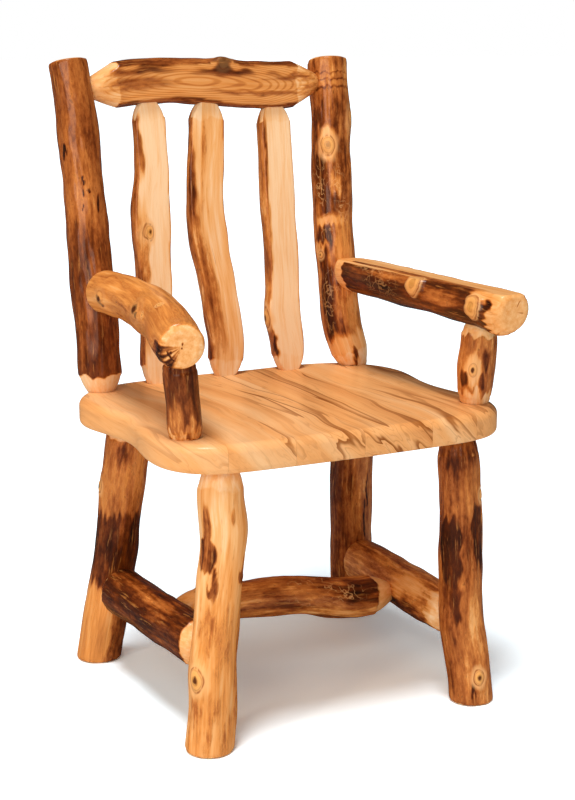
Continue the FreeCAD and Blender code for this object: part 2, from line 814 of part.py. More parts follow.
# Move the chair so that the middle of its whole box stands on the origin, and write the pieces
box = FreeCAD.BoundBox()
for solid in pieces.values():
    box.add(solid.optimalBoundingBox())
middle = FreeCAD.Vector(-box.Center.x, -box.Center.y, 0)
for name, solid in pieces.items():
    piece = solid.Solids[0]
    piece.translate(middle)
    piece.exportStep("parts/" + name + ".step")
    print(name, "solids", len(solid.Solids), "valid", piece.isValid(), "volume", round(piece.Volume))
print("moved by", middle, "box", box)
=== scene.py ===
import logging
import math
from dataclasses import dataclass, field
from enum import Enum

import bpy
import numpy as np
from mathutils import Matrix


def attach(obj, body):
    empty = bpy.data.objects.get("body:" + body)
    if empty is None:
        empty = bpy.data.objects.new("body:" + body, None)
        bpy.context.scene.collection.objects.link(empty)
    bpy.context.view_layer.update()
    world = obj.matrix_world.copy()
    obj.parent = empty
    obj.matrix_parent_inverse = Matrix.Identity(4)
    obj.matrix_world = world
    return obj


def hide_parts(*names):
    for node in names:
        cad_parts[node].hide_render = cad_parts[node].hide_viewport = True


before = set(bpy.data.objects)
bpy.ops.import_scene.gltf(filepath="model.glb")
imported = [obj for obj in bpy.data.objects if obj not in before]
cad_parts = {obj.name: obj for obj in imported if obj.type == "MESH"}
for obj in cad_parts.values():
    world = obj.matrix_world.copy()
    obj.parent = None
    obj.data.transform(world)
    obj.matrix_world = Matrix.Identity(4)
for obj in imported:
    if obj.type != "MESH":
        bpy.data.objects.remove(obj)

logging.basicConfig(level=logging.INFO, format="%(message)s")
log = logging.getLogger("armchair")

Pair = tuple[float, float]
Triple = tuple[float, float, float]
Colour = Triple
Stops = tuple[tuple[float, Colour], ...]
Rows = tuple[tuple[float, float, float, float], ...]

# Lengths are metres in the frame of the solids: +Z up, the front towards -Y.
SEAT_HEIGHT = 0.457
SEAT_WIDTH = 0.558
SEAT_DEPTH = 0.474
SEAT_THICKNESS = 0.042
SEAT_UNDERSIDE = SEAT_HEIGHT - SEAT_THICKNESS
BACK_RISE = 0.510
ARM_RISE = 0.150
FRAME_MOVE = (0.00445, -0.0359)
ACROSS = np.array([1.0, 0.0, 0.0])
REARWARD = np.array([0.0, 1.0, 0.0])
FULL_TURN = 2.0 * math.pi

# A log's mesh: distance between rings, points round a ring, rings on each end face
RING_STEP = 0.0019
AROUND = 116
FACE_RINGS = 24
ANGLES = np.linspace(0.0, FULL_TURN, AROUND, endpoint=False)
FACE_SHARES = np.linspace(0.0, 1.0, FACE_RINGS + 2)[1:-1]

# Turned, sawn and planed faces
SHOULDER_BASE_SHARE = 0.95
FOOT_BLEND = 0.06
CUT_EDGE = 0.0009
CUT_BLEND = 0.0007
FLAT_BLEND = 0.0011
FLAT_GRAZING = 0.02
NO_LIMIT = 1.0

# Knots: the groove round one, the edge of a sawn stub, and a distance out of any knot's reach
KNOT_GROOVE_SHARE = 0.22
KNOT_GROOVE_DEPTH = 0.0009
STUB_EDGE = (0.85, 1.5)
STUB_CRISP = 3.0
KNOT_FAR = 6.0

# Inner bark, stained patches and marks on end faces
BARK_DEPTH = 0.0022
BARK_RISE = 0.0006
BARK_TONES = (0.28, 0.46)
PATCH_POWER = 2.6
MARK_EDGE = (0.6, 1.2)


class EndKind(Enum):
    """How a log ends."""

    TENON = "tenon"
    SAWN = "sawn"
    FLOOR = "floor"


class Facing(Enum):
    """The way a planed flat faces, in the log's own cross-section."""

    NONE = "none"
    AGAINST_SIDE = "against_side"
    ALONG_RISE = "along_rise"
    AGAINST_RISE = "against_rise"


FACING_ANGLES = {Facing.AGAINST_SIDE: math.pi, Facing.ALONG_RISE: math.pi / 2,
                 Facing.AGAINST_RISE: -math.pi / 2}


def smooth_step(low: float, high: float, value: np.ndarray) -> np.ndarray:
    """Cubic step 3t^2 - 2t^3 with t = (value - low) / (high - low) held in 0..1."""
    share = np.clip((value - low) / (high - low), 0.0, 1.0)
    return share * share * (3.0 - 2.0 * share)


def soft_min(first: np.ndarray, second: np.ndarray, blend: float) -> np.ndarray:
    """Smaller of two lengths with a rounded corner: (a + b - sqrt((a - b)^2 + k^2)) / 2."""
    gap = first - second
    return (first + second - np.sqrt(gap * gap + blend * blend)) / 2


def turn_from(angle: np.ndarray, degrees: float) -> np.ndarray:
    """Angles measured from a place round the log, between -pi and pi."""
    return (angle - math.radians(degrees) + math.pi) % FULL_TURN - math.pi


def place(shares: Pair, height: float) -> np.ndarray:
    """A point over the seat plan.

    Args:
        shares: Shares of the seat's half width and half depth.
        height: Height above the floor.

    Returns:
        The point in the frame.
    """
    east = shares[0] * SEAT_WIDTH / 2 + FRAME_MOVE[0]
    north = shares[1] * SEAT_DEPTH / 2 + FRAME_MOVE[1]
    return np.array([east, north, height])


def straightened(radius: np.ndarray, reach: np.ndarray) -> np.ndarray:
    """Places (r cos a, r sin a, z) of a straightened log, from radii r and the rings' distances z."""
    level = np.broadcast_to(reach[:, None], (len(reach), AROUND))
    return np.stack([radius * np.cos(ANGLES), radius * np.sin(ANGLES), level], axis=-1)


@dataclass(frozen=True)
class Ripple:
    """Seeded waves on a log's skin: h sqrt(2 / n) times the sum of n sines sin(k.p + f).

    Attributes:
        height: Spread h of the waves.
        across: Typical wavelength across the log.
        along: Typical wavelength along it.
        draw: Number added to a log's seed, so that its ripples differ.
        count: Number n of waves.
    """

    height: float
    across: float
    along: float
    draw: int
    count: int = 14

    def over(self, points: np.ndarray, seed: int) -> np.ndarray:
        """Heights of the waves.

        Args:
            points: Array (..., 3) of x, y across the log and z along it.
            seed: The log's seed, for the wave numbers k and phases f.

        Returns:
            The height at each point.
        """
        rng = np.random.default_rng(seed + self.draw)
        total = np.zeros(points.shape[:-1])
        for _ in range(self.count):
            heading = rng.normal(size=3)
            heading = heading / np.linalg.norm(heading)
            number = FULL_TURN * heading / np.array([self.across, self.across, self.along])
            total += np.sin(points @ number + rng.uniform(0.0, FULL_TURN))
        return self.height * math.sqrt(2.0 / self.count) * total


# Swellings and facets of the skin, scallops where tools cut, and ridges of bark
SWELL = Ripple(0.0008, 0.05, 0.11, 0)
FACET = Ripple(0.0003, 0.016, 0.06, 1)
SCALLOP = Ripple(0.00049, 0.017, 0.05, 2)
RIDGE = Ripple(0.00025, 0.007, 0.05, 6)
# These move a patch's edge along the log, turn it round the log in radians, and make a knot uneven.
FRAY_DRIP = Ripple(0.006, 0.008, 0.07, 3)
FRAY_SWAY = Ripple(0.05, 0.03, 0.035, 4)
KNOT_UNEVEN = Ripple(0.06, 0.016, 0.02, 5)


@dataclass(frozen=True)
class Knot:
    """A branch knot on a log.

    Attributes:
        along_share: Place along the log.
        angle: Place round the log in degrees, from its side vector towards its rise vector.
        size_share: Its radius across the log, as a share of the log's girth.
        height_share: How far it stands out, as a share of the girth.
        stretch: Its length along the log over its width.
        dark: How dark its rim is.
        sawn: Whether it is a branch stub sawn flat.
        heart: How dark its heart is.
    """

    along_share: float
    angle: float
    size_share: float
    height_share: float
    stretch: float = 1.4
    dark: float = 1.0
    sawn: bool = False
    heart: float = 1.0


@dataclass(frozen=True)
class Patch:
    """A stained, barked or scraped patch.

    Attributes:
        along_share: Place along the log.
        angle: Place round the log in degrees.
        half_length_share: Half its length as a share of the log's.
        half_width: Half its width in degrees.
        tone: 0 for bare pale wood up to 1 for dark bark.
        soft_share: Share of the patch over which it fades.
        over_cut: Whether it also lies on planed and turned faces.
        fray: How much its edges fray along the grain.
    """

    along_share: float
    angle: float
    half_length_share: float
    half_width: float
    tone: float
    soft_share: float = 0.4
    over_cut: bool = False
    fray: float = 1.0


@dataclass(frozen=True)
class EndMark:
    """A dark mark on the sawn face of a log's last end.

    Attributes:
        radius_share: Distance from the centre as a share of the face's radius.
        angle: Place round the face in degrees.
        half_out_share: Half its size outwards, as a share of the radius.
        half_round: Half its size round the face in degrees.
        tone: Its tone.
    """

    radius_share: float
    angle: float
    half_out_share: float
    half_round: float
    tone: float


@dataclass(frozen=True)
class Look:
    """The colouring of one log.

    Attributes:
        seed: Seed of its ripples and noise.
        tone: Tone where no patch lies.
        cut_tone: Tone of turned and sawn faces.
        flat_tone: Tone of a planed flat.
        mottle: Strength of the blotches.
        streak: Strength of the fine streaks.
        warmth: Moves the bare wood towards honey.
        rings: Strength of the growth rings on a planed flat.
        patches: Stained and scraped patches, later ones on top.
        knots: Knots.
        scrawls: Patches of pale beetle trails; their tone is the strength.
        marks: Marks on the sawn end.
    """

    seed: int
    tone: float
    cut_tone: float = 0.05
    flat_tone: float = 0.05
    mottle: float = 0.5
    streak: float = 0.4
    warmth: float = 0.08
    rings: float = 0.06
    patches: tuple[Patch, ...] = ()
    knots: tuple[Knot, ...] = ()
    scrawls: tuple[Patch, ...] = ()
    marks: tuple[EndMark, ...] = ()


@dataclass(frozen=True)
class LogEnd:
    """The shape of one end.

    Attributes:
        kind: How the end is cut.
        inset: Distance from the end of the centre line to the end's tip.
        tip: Radius at the tip of a tenon's shoulder.
        length: Length of the shoulder, or radius of a sawn end's rounding.
        bulge_share: Swell of the shoulder as a share of its length.
        bark: Depth to which the stained skin shows on the cut.
    """

    kind: EndKind
    inset: float
    tip: float
    length: float
    bulge_share: float
    bark: float

    def limit(self, gap: np.ndarray, base: float) -> np.ndarray:
        """Radius left by the tool that made the end.

        A shoulder is the line from tip to base with the swell 4t(1 - t)b added, run on past its root;
        a sawn end is the quarter circle base - e + sqrt(e^2 - (e - d)^2).

        Args:
            gap: Distances d from the end's tip.
            base: Radius of the log at the root of the end.

        Returns:
            The limiting radius at each distance.
        """
        if self.kind is EndKind.TENON:
            root = base * SHOULDER_BASE_SHARE
            share = np.maximum(gap / self.length, 0.0)
            swell = 4.0 * share * np.maximum(1.0 - share, 0.0) * self.bulge_share * self.length
            return self.tip + (root - self.tip) * share + swell
        inner = np.clip(self.length - gap, 0.0, self.length)
        quarter = np.sqrt(self.length ** 2 - inner ** 2)
        return base - self.length + quarter + np.maximum(gap - self.length, 0.0)


@dataclass(frozen=True)
class TenonSize:
    """The sizes of a turned tenon and its shoulder.

    Attributes:
        shoulder: Length of the shoulder.
        sunk: Depth of the shoulder in the bored piece.
        diameter: Diameter of the tenon.
        bulge_share: Swell of the shoulder as a share of its length.
        bark: Depth to which the stained skin shows on the shoulder.
    """

    shoulder: float
    sunk: float
    diameter: float
    bulge_share: float = 0.06
    bark: float = 0.0

    def end(self, bored: float = 0.0) -> LogEnd:
        """The end of a log that enters a log of the given radius, or the seat if that is 0."""
        tip = self.diameter / 2
        return LogEnd(EndKind.TENON, bored - self.sunk, tip, self.shoulder, self.bulge_share, self.bark)


def sawn(kind: EndKind, rounding: float) -> LogEnd:
    """An end sawn square to the log or level with the floor, with its edge rounded."""
    return LogEnd(kind, 0.0, 0.0, rounding, 0.0, BARK_DEPTH)


@dataclass
class Centreline:
    """A log's bowed centre line and changing thickness, the same as the solid's.

    Attributes:
        start: First end.
        finish: Other end.
        girth: Nominal thickness.
        hint: Vector that the side vector leans to.
        rows: Rows of shares: along, side bow, rise bow, thickness.
        length: Length of the straight line between the ends.
        direction: Its direction.
        side: Vector across the log, near the hint.
        rise: Vector square to both.
    """

    start: np.ndarray
    finish: np.ndarray
    girth: float
    hint: np.ndarray
    rows: Rows
    length: float = field(init=False)
    direction: np.ndarray = field(init=False)
    side: np.ndarray = field(init=False)
    rise: np.ndarray = field(init=False)

    def __post_init__(self) -> None:
        """Work out the straight line's length and cross vectors."""
        gap = self.finish - self.start
        self.length = float(np.linalg.norm(gap))
        self.direction = gap / self.length
        side = self.hint - self.direction * float(self.hint @ self.direction)
        self.side = side / np.linalg.norm(side)
        self.rise = np.cross(self.direction, self.side)

    def row(self, along: np.ndarray) -> np.ndarray:
        """Cubic curve through the rows, b + t(m + t((3d - 2m - n) + t(m + n - 2d))).

        Args:
            along: Shares of the length.

        Returns:
            Array (n, 3) of side bow, rise bow and thickness shares.
        """
        table = np.array(self.rows)
        last = len(table) - 1
        index = np.clip(np.searchsorted(table[:, 0], along, side="left") - 1, 0, last - 1)
        before = table[index]
        after = table[index + 1]
        earlier = table[np.maximum(index - 1, 0)]
        later = table[np.minimum(index + 2, last)]
        span = after[:, :1] - before[:, :1]
        share = np.clip((along[:, None] - before[:, :1]) / span, 0.0, 1.0)
        rise = (after - before)[:, 1:]
        leaving = (after - earlier)[:, 1:] / (after - earlier)[:, :1] * span
        arriving = (later - before)[:, 1:] / (later - before)[:, :1] * span
        curve = 3.0 * rise - 2.0 * leaving - arriving
        twist = leaving + arriving - 2.0 * rise
        return before[:, 1:] + share * (leaving + share * (curve + share * twist))

    def centres(self, along: np.ndarray) -> np.ndarray:
        """Points of the centre line.

        Args:
            along: Shares of the length.

        Returns:
            Array (n, 3) of points.
        """
        row = self.row(along)
        straight = self.start + along[:, None] * self.length * self.direction
        return straight + self.girth * (row[:, :1] * self.side + row[:, 1:2] * self.rise)

    def point(self, along: float) -> np.ndarray:
        """One point of the centre line, by its share of the length."""
        return self.centres(np.array([along]))[0]

    def radius(self, along: float) -> float:
        """Half the thickness at one place, by its share of the length."""
        return float(self.row(np.array([along]))[0, 2]) * self.girth / 2


NOISE_MIDDLE = 0.5


class Value:
    """A shader socket that takes Python arithmetic."""

    def __init__(self, graph: "Graph", socket: bpy.types.NodeSocket) -> None:
        """Keep the output socket and the graph that makes its nodes."""
        self.graph = graph
        self.socket = socket

    def math(self, operation: str, *others: "Value | float") -> "Value":
        """A Math node on this value and others, with Blender's name of the operation."""
        inputs = dict(enumerate((self, *others)))
        return self.graph.node("ShaderNodeMath", {"operation": operation}, inputs)

    def __add__(self, other: "Value | float") -> "Value":
        """Sum of this and other."""
        return self.math("ADD", other)

    def __sub__(self, other: "Value | float") -> "Value":
        """This less other."""
        return self.math("SUBTRACT", other)

    def __rsub__(self, other: float) -> "Value":
        """Other less this."""
        return self.math("MULTIPLY_ADD", -1.0, other)

    def __mul__(self, other: "Value | float") -> "Value":
        """Product of this and other."""
        return self.math("MULTIPLY", other)

    def __pow__(self, other: float) -> "Value":
        """This to the power of other."""
        return self.math("POWER", other)

    __radd__ = __add__
    __rmul__ = __mul__

    def step(self, low: float, high: float) -> "Value":
        """Smooth step from 0 at the low value to 1 at the high one."""
        inputs = {"Value": self, "From Min": low, "From Max": high}
        return self.graph.node("ShaderNodeMapRange", {"interpolation_type": "SMOOTHSTEP"}, inputs, "Result")

    def centred(self) -> "Value":
        """This noise with its middle moved to 0."""
        return self - NOISE_MIDDLE

    def sine(self) -> "Value":
        """Sine of this value in radians."""
        return self.math("SINE")

    def fraction(self) -> "Value":
        """Part of this value after the point."""
        return self.math("FRACT")

    def larger(self, other: "Value | float") -> "Value":
        """The larger of this and other."""
        return self.math("MAXIMUM", other)

    def near(self, middle: float, steep: float) -> "Value":
        """A peak 1 - steep |x - middle|, held above 0."""
        return (1.0 - (self - middle).math("ABSOLUTE") * steep).larger(0.0)

    def sibling(self, name: str) -> "Value":
        """Another output of the node that gives this value."""
        return Value(self.graph, self.socket.node.outputs[name])


def opaque(colour: Colour) -> tuple[float, float, float, float]:
    """A linear colour with full alpha, for a socket."""
    return (*colour, 1.0)


@dataclass(frozen=True)
class Layer:
    """One layer of stretched noise.

    Attributes:
        stretch: Factor on each axis; a small one gives long streaks that way.
        shift: Moves the layer away from the others.
        scale: Cells in a metre.
        detail: Octaves.
        rough: Weight of each finer octave.
    """

    stretch: Triple
    shift: float
    scale: float
    detail: float
    rough: float = 0.55


# A Mix node's sockets for two colours and for the result, and the wood's own gloss under its coat
MIX_GROUND = 6
MIX_COAT = 7
MIX_RESULT = 2
UNDERCOAT_GLOSS = 0.015


class Graph:
    """The node tree of one material or of the world."""

    def __init__(self, owner: bpy.types.Material | bpy.types.World) -> None:
        """Start an empty tree.

        Args:
            owner: The material or world.
        """
        owner.use_nodes = True
        self.tree = owner.node_tree
        self.tree.nodes.clear()

    def node(self, kind: str, settings: dict, inputs: dict, out: int | str | None = 0) -> Value | None:
        """Make any node, set it up and wire it.

        Args:
            kind: Blender's type name.
            settings: Properties to set, or the stops of a ramp.
            inputs: Socket names or numbers to values, colours or Value objects.
            out: Name or number of the output wanted, or None for an end node.

        Returns:
            The output as a Value, or None.
        """
        made = self.tree.nodes.new(kind)
        for key, setting in settings.items():
            if key == "stops":
                self.fill(made.color_ramp, setting)
            else:
                setattr(made, key, setting)
        for key, given in inputs.items():
            if isinstance(given, Value):
                self.tree.links.new(given.socket, made.inputs[key])
            else:
                made.inputs[key].default_value = given
        return None if out is None else Value(self, made.outputs[out])

    @staticmethod
    def fill(band: bpy.types.ColorRamp, stops: Stops) -> None:
        """Give a ramp its stops.

        Args:
            band: The ramp.
            stops: Places and their linear colours.
        """
        while len(band.elements) < len(stops):
            band.elements.new(1.0)
        for element, (position, colour) in zip(band.elements, stops):
            element.position = position
            element.color = opaque(colour)

    def noise(self, vector: Value, layer: Layer, seed: float) -> Value:
        """Stretched noise between 0 and 1.

        Args:
            vector: Place.
            layer: The layer's numbers.
            seed: Moves the noise, so that no two pieces match.

        Returns:
            The noise.
        """
        shift = layer.shift + seed
        moved = self.node("ShaderNodeVectorMath", {"operation": "MULTIPLY_ADD"},
                          {0: vector, 1: layer.stretch, 2: (shift, shift, shift)})
        inputs = {"Vector": moved, "Scale": layer.scale, "Detail": layer.detail, "Roughness": layer.rough}
        return self.node("ShaderNodeTexNoise", {"noise_dimensions": "3D"}, inputs)

    def ramp(self, factor: Value, stops: Stops) -> Value:
        """Colours along a ramp."""
        return self.node("ShaderNodeValToRGB", {"stops": stops}, {0: factor})

    def paint(self, ground: Value | Colour, *coats: tuple[Value, Value | Colour]) -> Value:
        """Coats of colour laid over a ground, one after another.

        Args:
            ground: The first colour.
            coats: How much each coat covers, and its colour.

        Returns:
            The colour.
        """
        for cover, coat in coats:
            under, over = (given if isinstance(given, Value) else opaque(given) for given in (ground, coat))
            inputs = {0: cover, MIX_GROUND: under, MIX_COAT: over}
            ground = self.node("ShaderNodeMix", {"data_type": "RGBA"}, inputs, MIX_RESULT)
        return ground

    def attribute(self, name: str, out: str = "Fac") -> Value:
        """A named attribute of the mesh."""
        return self.node("ShaderNodeAttribute", {"attribute_name": name}, {}, out)

    def finish(self, colour: Value, rough: Value, height: Value, bump: Pair, coat: Pair) -> None:
        """Wire the surface of a material.

        Args:
            colour: Base colour.
            rough: Roughness.
            height: Height for the bump.
            bump: Strength and distance of the bump.
            coat: Weight and roughness of the clear coat.
        """
        inputs = {"Strength": bump[0], "Distance": bump[1], "Height": height}
        surface = {"Base Color": colour, "Roughness": rough, "Specular IOR Level": UNDERCOAT_GLOSS,
                   "Coat Weight": coat[0], "Coat Roughness": coat[1],
                   "Normal": self.node("ShaderNodeBump", {}, inputs)}
        shader = self.node("ShaderNodeBsdfPrincipled", {}, surface)
        self.node("ShaderNodeOutputMaterial", {}, {"Surface": shader}, None)


# Colours of the logs, from bare wood to dark bark
CREAM = (0.94, 0.63, 0.36)
STRAW = (0.88, 0.45, 0.165)
HONEY = (0.74, 0.28, 0.060)
AMBER = (0.50, 0.155, 0.030)
RUST = (0.30, 0.075, 0.012)
BROWN = (0.165, 0.034, 0.004)
DARK = (0.080, 0.015, 0.002)
BLACK = (0.020, 0.005, 0.002)
KNOT_GOLD = (0.80, 0.36, 0.075)
BARE_STOPS = ((0.15, CREAM), (0.42, STRAW), (0.75, HONEY), (1.0, AMBER))
BARK_STOPS = ((0.28, HONEY), (0.40, AMBER), (0.52, RUST), (0.60, BROWN), (0.71, DARK), (0.90, BLACK))

# Noise on the logs, most of it drawn out along the grain; the last moves the heart of the rings
FINE = Layer((1.0, 1.0, 0.05), 0.0, 420.0, 3.0)
LINES = Layer((1.0, 1.0, 0.07), 1.7, 130.0, 4.0)
BLOTCH = Layer((1.0, 1.0, 0.32), 3.1, 40.0, 6.0, 0.60)
FLECK = Layer((1.0, 1.0, 0.40), 5.3, 190.0, 4.0, 0.6)
CLOUD = Layer((1.0, 1.0, 0.35), 9.1, 16.0, 2.0)
SCRATCH = Layer((1.0, 1.0, 0.09), 13.0, 260.0, 3.0, 0.6)
SQUIGGLE = Layer((1.0, 1.0, 0.7), 11.0, 95.0, 1.5)
WANDER = Layer((0.4, 0.4, 1.0), 7.0, 5.0, 1.0)

# How strongly noise and tone move the colour of bare wood, calmer on cut faces, and of stain
BARE_LINES = 1.8
BARE_FINE = 0.34
BARE_CLOUD = 1.5
BARE_CALM = 0.15
BARE_TONE = 0.9
BARE_LEVEL = 0.22
STAIN_BLOTCH = 2.0
STAIN_FLECK = 0.36
STAIN_CLOUD = 0.20

# Noise values between which a mark comes out, and how much it covers
THREAD_RANGE = (0.58, 0.72)
THREAD_CALM = 0.75
THREAD_COVER = 0.75
STAIN_RANGE = (0.20, 0.38)
SCUFF_RANGE = (0.55, 0.68)
SCUFF_AREAS = (0.40, 0.62)
SCUFF_COVER = 0.45
PIT_RANGE = (0.30, 0.40)
PIT_COVER = 0.6
TRAIL_STEEP = 24.0
TRAIL_AREAS = (0.42, 0.58)
TRAIL_COVER = 0.7

# Growth rings
HEART_WANDER = 0.016
RING_MIDDLE = 0.215
RING_BOW = 0.45
RINGS_IN_METRE = 500.0
RING_ROUGH = 2.0

# Surface of the logs
ROUGH_LEVEL = 0.34
ROUGH_FLECK = 0.16
ROUGH_STAIN = 0.05
LOG_BUMP = (0.7, 0.0010)
LOG_COAT = (0.52, 0.25)


@dataclass(frozen=True)
class KnotFinish:
    """Colours of a knot by the distance q from its middle, in knot sizes.

    Attributes:
        rough: How far the grain moves its rim.
        rim_steep: Steepness of the rim.
        rim_breaks: Noise between which the rim breaks off.
        turns: How fast its rings follow each other, and how far blotches move them.
        turn_range: Heights of the sine between which a ring darkens.
        turn_end: Distances between which the rings stop.
        heart_rough: How uneven its heart is.
        heart_end: Distances between which the heart ends.
        inside_end: Distances between which the knot ends.
        halo_start: Distances between which the pale halo starts.
        halo_end: Distances between which it ends.
        halo_cover: How much the halo covers.
        inside_cover: How much the knot covers.
        gold_reach: Distance at which its golden middle has faded.
        rim_cover: How dark the rim is.
        turn_cover: How dark the rings are.
        heart_cover: How dark the heart is.
    """

    rough: float = 0.24
    rim_steep: float = 6.0
    rim_breaks: Pair = (0.34, 0.54)
    turns: Pair = (15.0, 5.0)
    turn_range: Pair = (0.2, 1.0)
    turn_end: Pair = (0.8, 1.0)
    heart_rough: float = 1.3
    heart_end: Pair = (0.16, 0.40)
    inside_end: Pair = (0.8, 1.05)
    halo_start: Pair = (0.9, 1.1)
    halo_end: Pair = (1.1, 1.9)
    halo_cover: float = 0.75
    inside_cover: float = 0.9
    gold_reach: float = 1.25
    rim_cover: float = 0.85
    turn_cover: float = 0.34
    heart_cover: float = 0.95

    def over(self, graph: Graph, colour: Value, lines: Value, blotch: Value) -> Value:
        """Knots laid over a colour.

        Args:
            graph: The material's graph.
            colour: Colour under the knots.
            lines: Noise that roughens the knots' rims.
            blotch: Noise that makes their hearts uneven.

        Returns:
            The colour with knots.
        """
        dark = graph.attribute("knot_dark")
        knot = graph.attribute("knot") + lines.centred() * self.rough
        rim = knot.near(1.0, self.rim_steep) * lines.step(*self.rim_breaks)
        waves = (knot * self.turns[0] + blotch * self.turns[1]).sine()
        turns = waves.step(*self.turn_range) * (1.0 - knot.step(*self.turn_end))
        heart = 1.0 - (knot + blotch.centred() * self.heart_rough).step(*self.heart_end)
        inside = (1.0 - knot.step(*self.inside_end)) * dark * self.inside_cover
        halo = (1.0 - knot.step(*self.halo_end)) * knot.step(*self.halo_start)
        return graph.paint(colour, (halo * dark * self.halo_cover, STRAW), (inside, STRAW),
                           (inside * (self.gold_reach - knot), KNOT_GOLD),
                           ((rim * self.rim_cover + turns * self.turn_cover) * dark, RUST),
                           (heart * graph.attribute("knot_heart") * self.heart_cover, DARK))


@dataclass(frozen=True)
class LogFinish:
    """Clear-finished peeled log: pale wood, inner bark stains, knots and cut faces.

    Attributes:
        name: Name of the finish.
        look: The log's colouring.
        knots: Colours of its knots.
        relief: Heights of fine grain, lines, blotches, trails, scuffs, stain and its flecks.
    """

    name: str
    look: Look
    knots: KnotFinish = KnotFinish()
    relief: tuple[float, ...] = (0.20, 0.35, 0.9, 0.5, 0.4, 0.7, 0.9)

    def make(self) -> bpy.types.Material:
        """Build the material.

        Returns:
            The material.
        """
        material = bpy.data.materials.new(self.name)
        graph = Graph(material)
        look = self.look
        spot = graph.attribute("straight", "Vector")
        tone = graph.attribute("tone")
        cut = graph.attribute("cut")
        layers = (FINE, LINES, BLOTCH, FLECK, CLOUD, SCRATCH, SQUIGGLE)
        noises = [graph.noise(spot, layer, look.seed) for layer in layers]
        fine, lines, blotch, fleck, cloud, scratch, squiggle = noises

        grain = lines.centred() * look.streak * BARE_LINES + fine.centred() * BARE_FINE
        grain = grain + cloud.centred() * look.mottle * BARE_CLOUD
        rings = self.ring_lines(graph, spot, lines) * graph.attribute("ring")
        ground = grain * (1.0 - cut * BARE_CALM) + (1.0 - cut) * look.warmth
        bare = graph.ramp(ground + rings + tone * BARE_TONE + BARE_LEVEL, BARE_STOPS)
        thread = scratch.step(*THREAD_RANGE) * (1.0 - cut * THREAD_CALM) * look.streak

        drift = blotch.centred() * look.mottle * STAIN_BLOTCH + lines.centred() * look.streak
        stain = tone + drift + fleck.centred() * STAIN_FLECK + cloud.centred() * STAIN_CLOUD
        covered = stain.step(*STAIN_RANGE) * (1.0 - cut)
        scuff = scratch.step(*SCUFF_RANGE) * covered * blotch.step(*SCUFF_AREAS)
        pits = (1.0 - fleck.step(*PIT_RANGE)) * covered
        trail = squiggle.near(NOISE_MIDDLE, TRAIL_STEEP) * graph.attribute("scrawl")
        trail = trail * blotch.step(*TRAIL_AREAS)
        colour = graph.paint(bare, (thread * THREAD_COVER, AMBER), (covered, graph.ramp(stain, BARK_STOPS)),
                             (scuff * SCUFF_COVER, HONEY), (pits * PIT_COVER, DARK),
                             (trail * TRAIL_COVER, STRAW))
        colour = self.knots.over(graph, colour, lines, blotch)

        rough = fleck * ROUGH_FLECK + ROUGH_LEVEL + covered * ROUGH_STAIN
        raised = (fine, lines, blotch, trail, scuff, covered, fleck * covered)
        height = sum(mark * amount for mark, amount in zip(raised, self.relief))
        graph.finish(colour, rough, height, LOG_BUMP, LOG_COAT)
        return material

    def ring_lines(self, graph: Graph, spot: Value, lines: Value) -> Value:
        """Growth rings about a wandering heart.

        Args:
            graph: The material's graph.
            spot: Place in the straightened log.
            lines: Noise that roughens the rings.

        Returns:
            1 on the dark line of each ring.
        """
        wander = graph.noise(spot, WANDER, self.look.seed).centred() * HEART_WANDER
        split = graph.node("ShaderNodeSeparateXYZ", {}, {0: spot}, "X")
        beyond = split.sibling("Z") - RING_MIDDLE
        east = split + wander - beyond * beyond * RING_BOW
        north = split.sibling("Y") + wander
        reach = (east * east + north * north) ** 0.5
        return (reach * (FULL_TURN * RINGS_IN_METRE) + lines * RING_ROUGH).sine().step(0.0, 1.0)


# Colours of the seat
SEAT_PALE = (0.85, 0.50, 0.240)
SEAT_WARM = (0.79, 0.365, 0.125)
SEAT_DEEP = (0.56, 0.195, 0.048)
SEAT_LINE = (0.29, 0.084, 0.015)
SEAT_STOPS = ((0.48, SEAT_PALE), (0.68, SEAT_WARM), (0.95, SEAT_DEEP))

# Noise on the seat boards, whose grain runs from front to back
BOARD_SWAY = Layer((0.6, 1.0, 0.6), 0.0, 3.6, 2.0)
BOARD_FINE = Layer((1.0, 1.0, 1.0), 4.0, 480.0, 3.0)
BOARD_BODY = Layer((1.0, 1.0, 0.8), 6.0, 30.0, 4.0, 0.5)
BOARD_FLAME = Layer((1.0, 2.6, 1.0), 8.0, 13.0, 3.0)
BOARD_CONTOUR = Layer((1.0, 1.0, 1.5), 10.0, 20.0, 3.0, 0.45)
BOARD_SPARSE = Layer((1.0, 3.0, 1.0), 12.0, 11.0, 2.0)
BOARD_BEND = 0.08
BOARD_SLANT = 0.8
GRAIN_SQUEEZE = (0.045, 0.3)

# Figure of the boards: contours of one noise, drawn as few bold lines and many thin threads
CONTOURS = 5.0
THREADS = 19.0
LINE_RISE = (0.70, 0.96)
LINE_END = (0.97, 1.0)
FIGURE_AREAS = (0.40, 0.62)
FIGURE_FLOOR = 0.12
THREAD_SHARE = 0.30
THREAD_FLOOR = 0.06
PORE_RANGE = (0.58, 0.80)
PORE_COVER = 0.14
GLUE_LINE = 0.0007
GLUE_COVER = 0.3
GROUND_BODY = 0.55
GROUND_FINE = 0.12
BOARD_ROUGH_LEVEL = 0.30
BOARD_ROUGH_FINE = 0.10
BOARD_RELIEF = (0.5, 0.3)
BOARD_BUMP = (0.15, 0.0004)
BOARD_COAT = (0.30, 0.22)


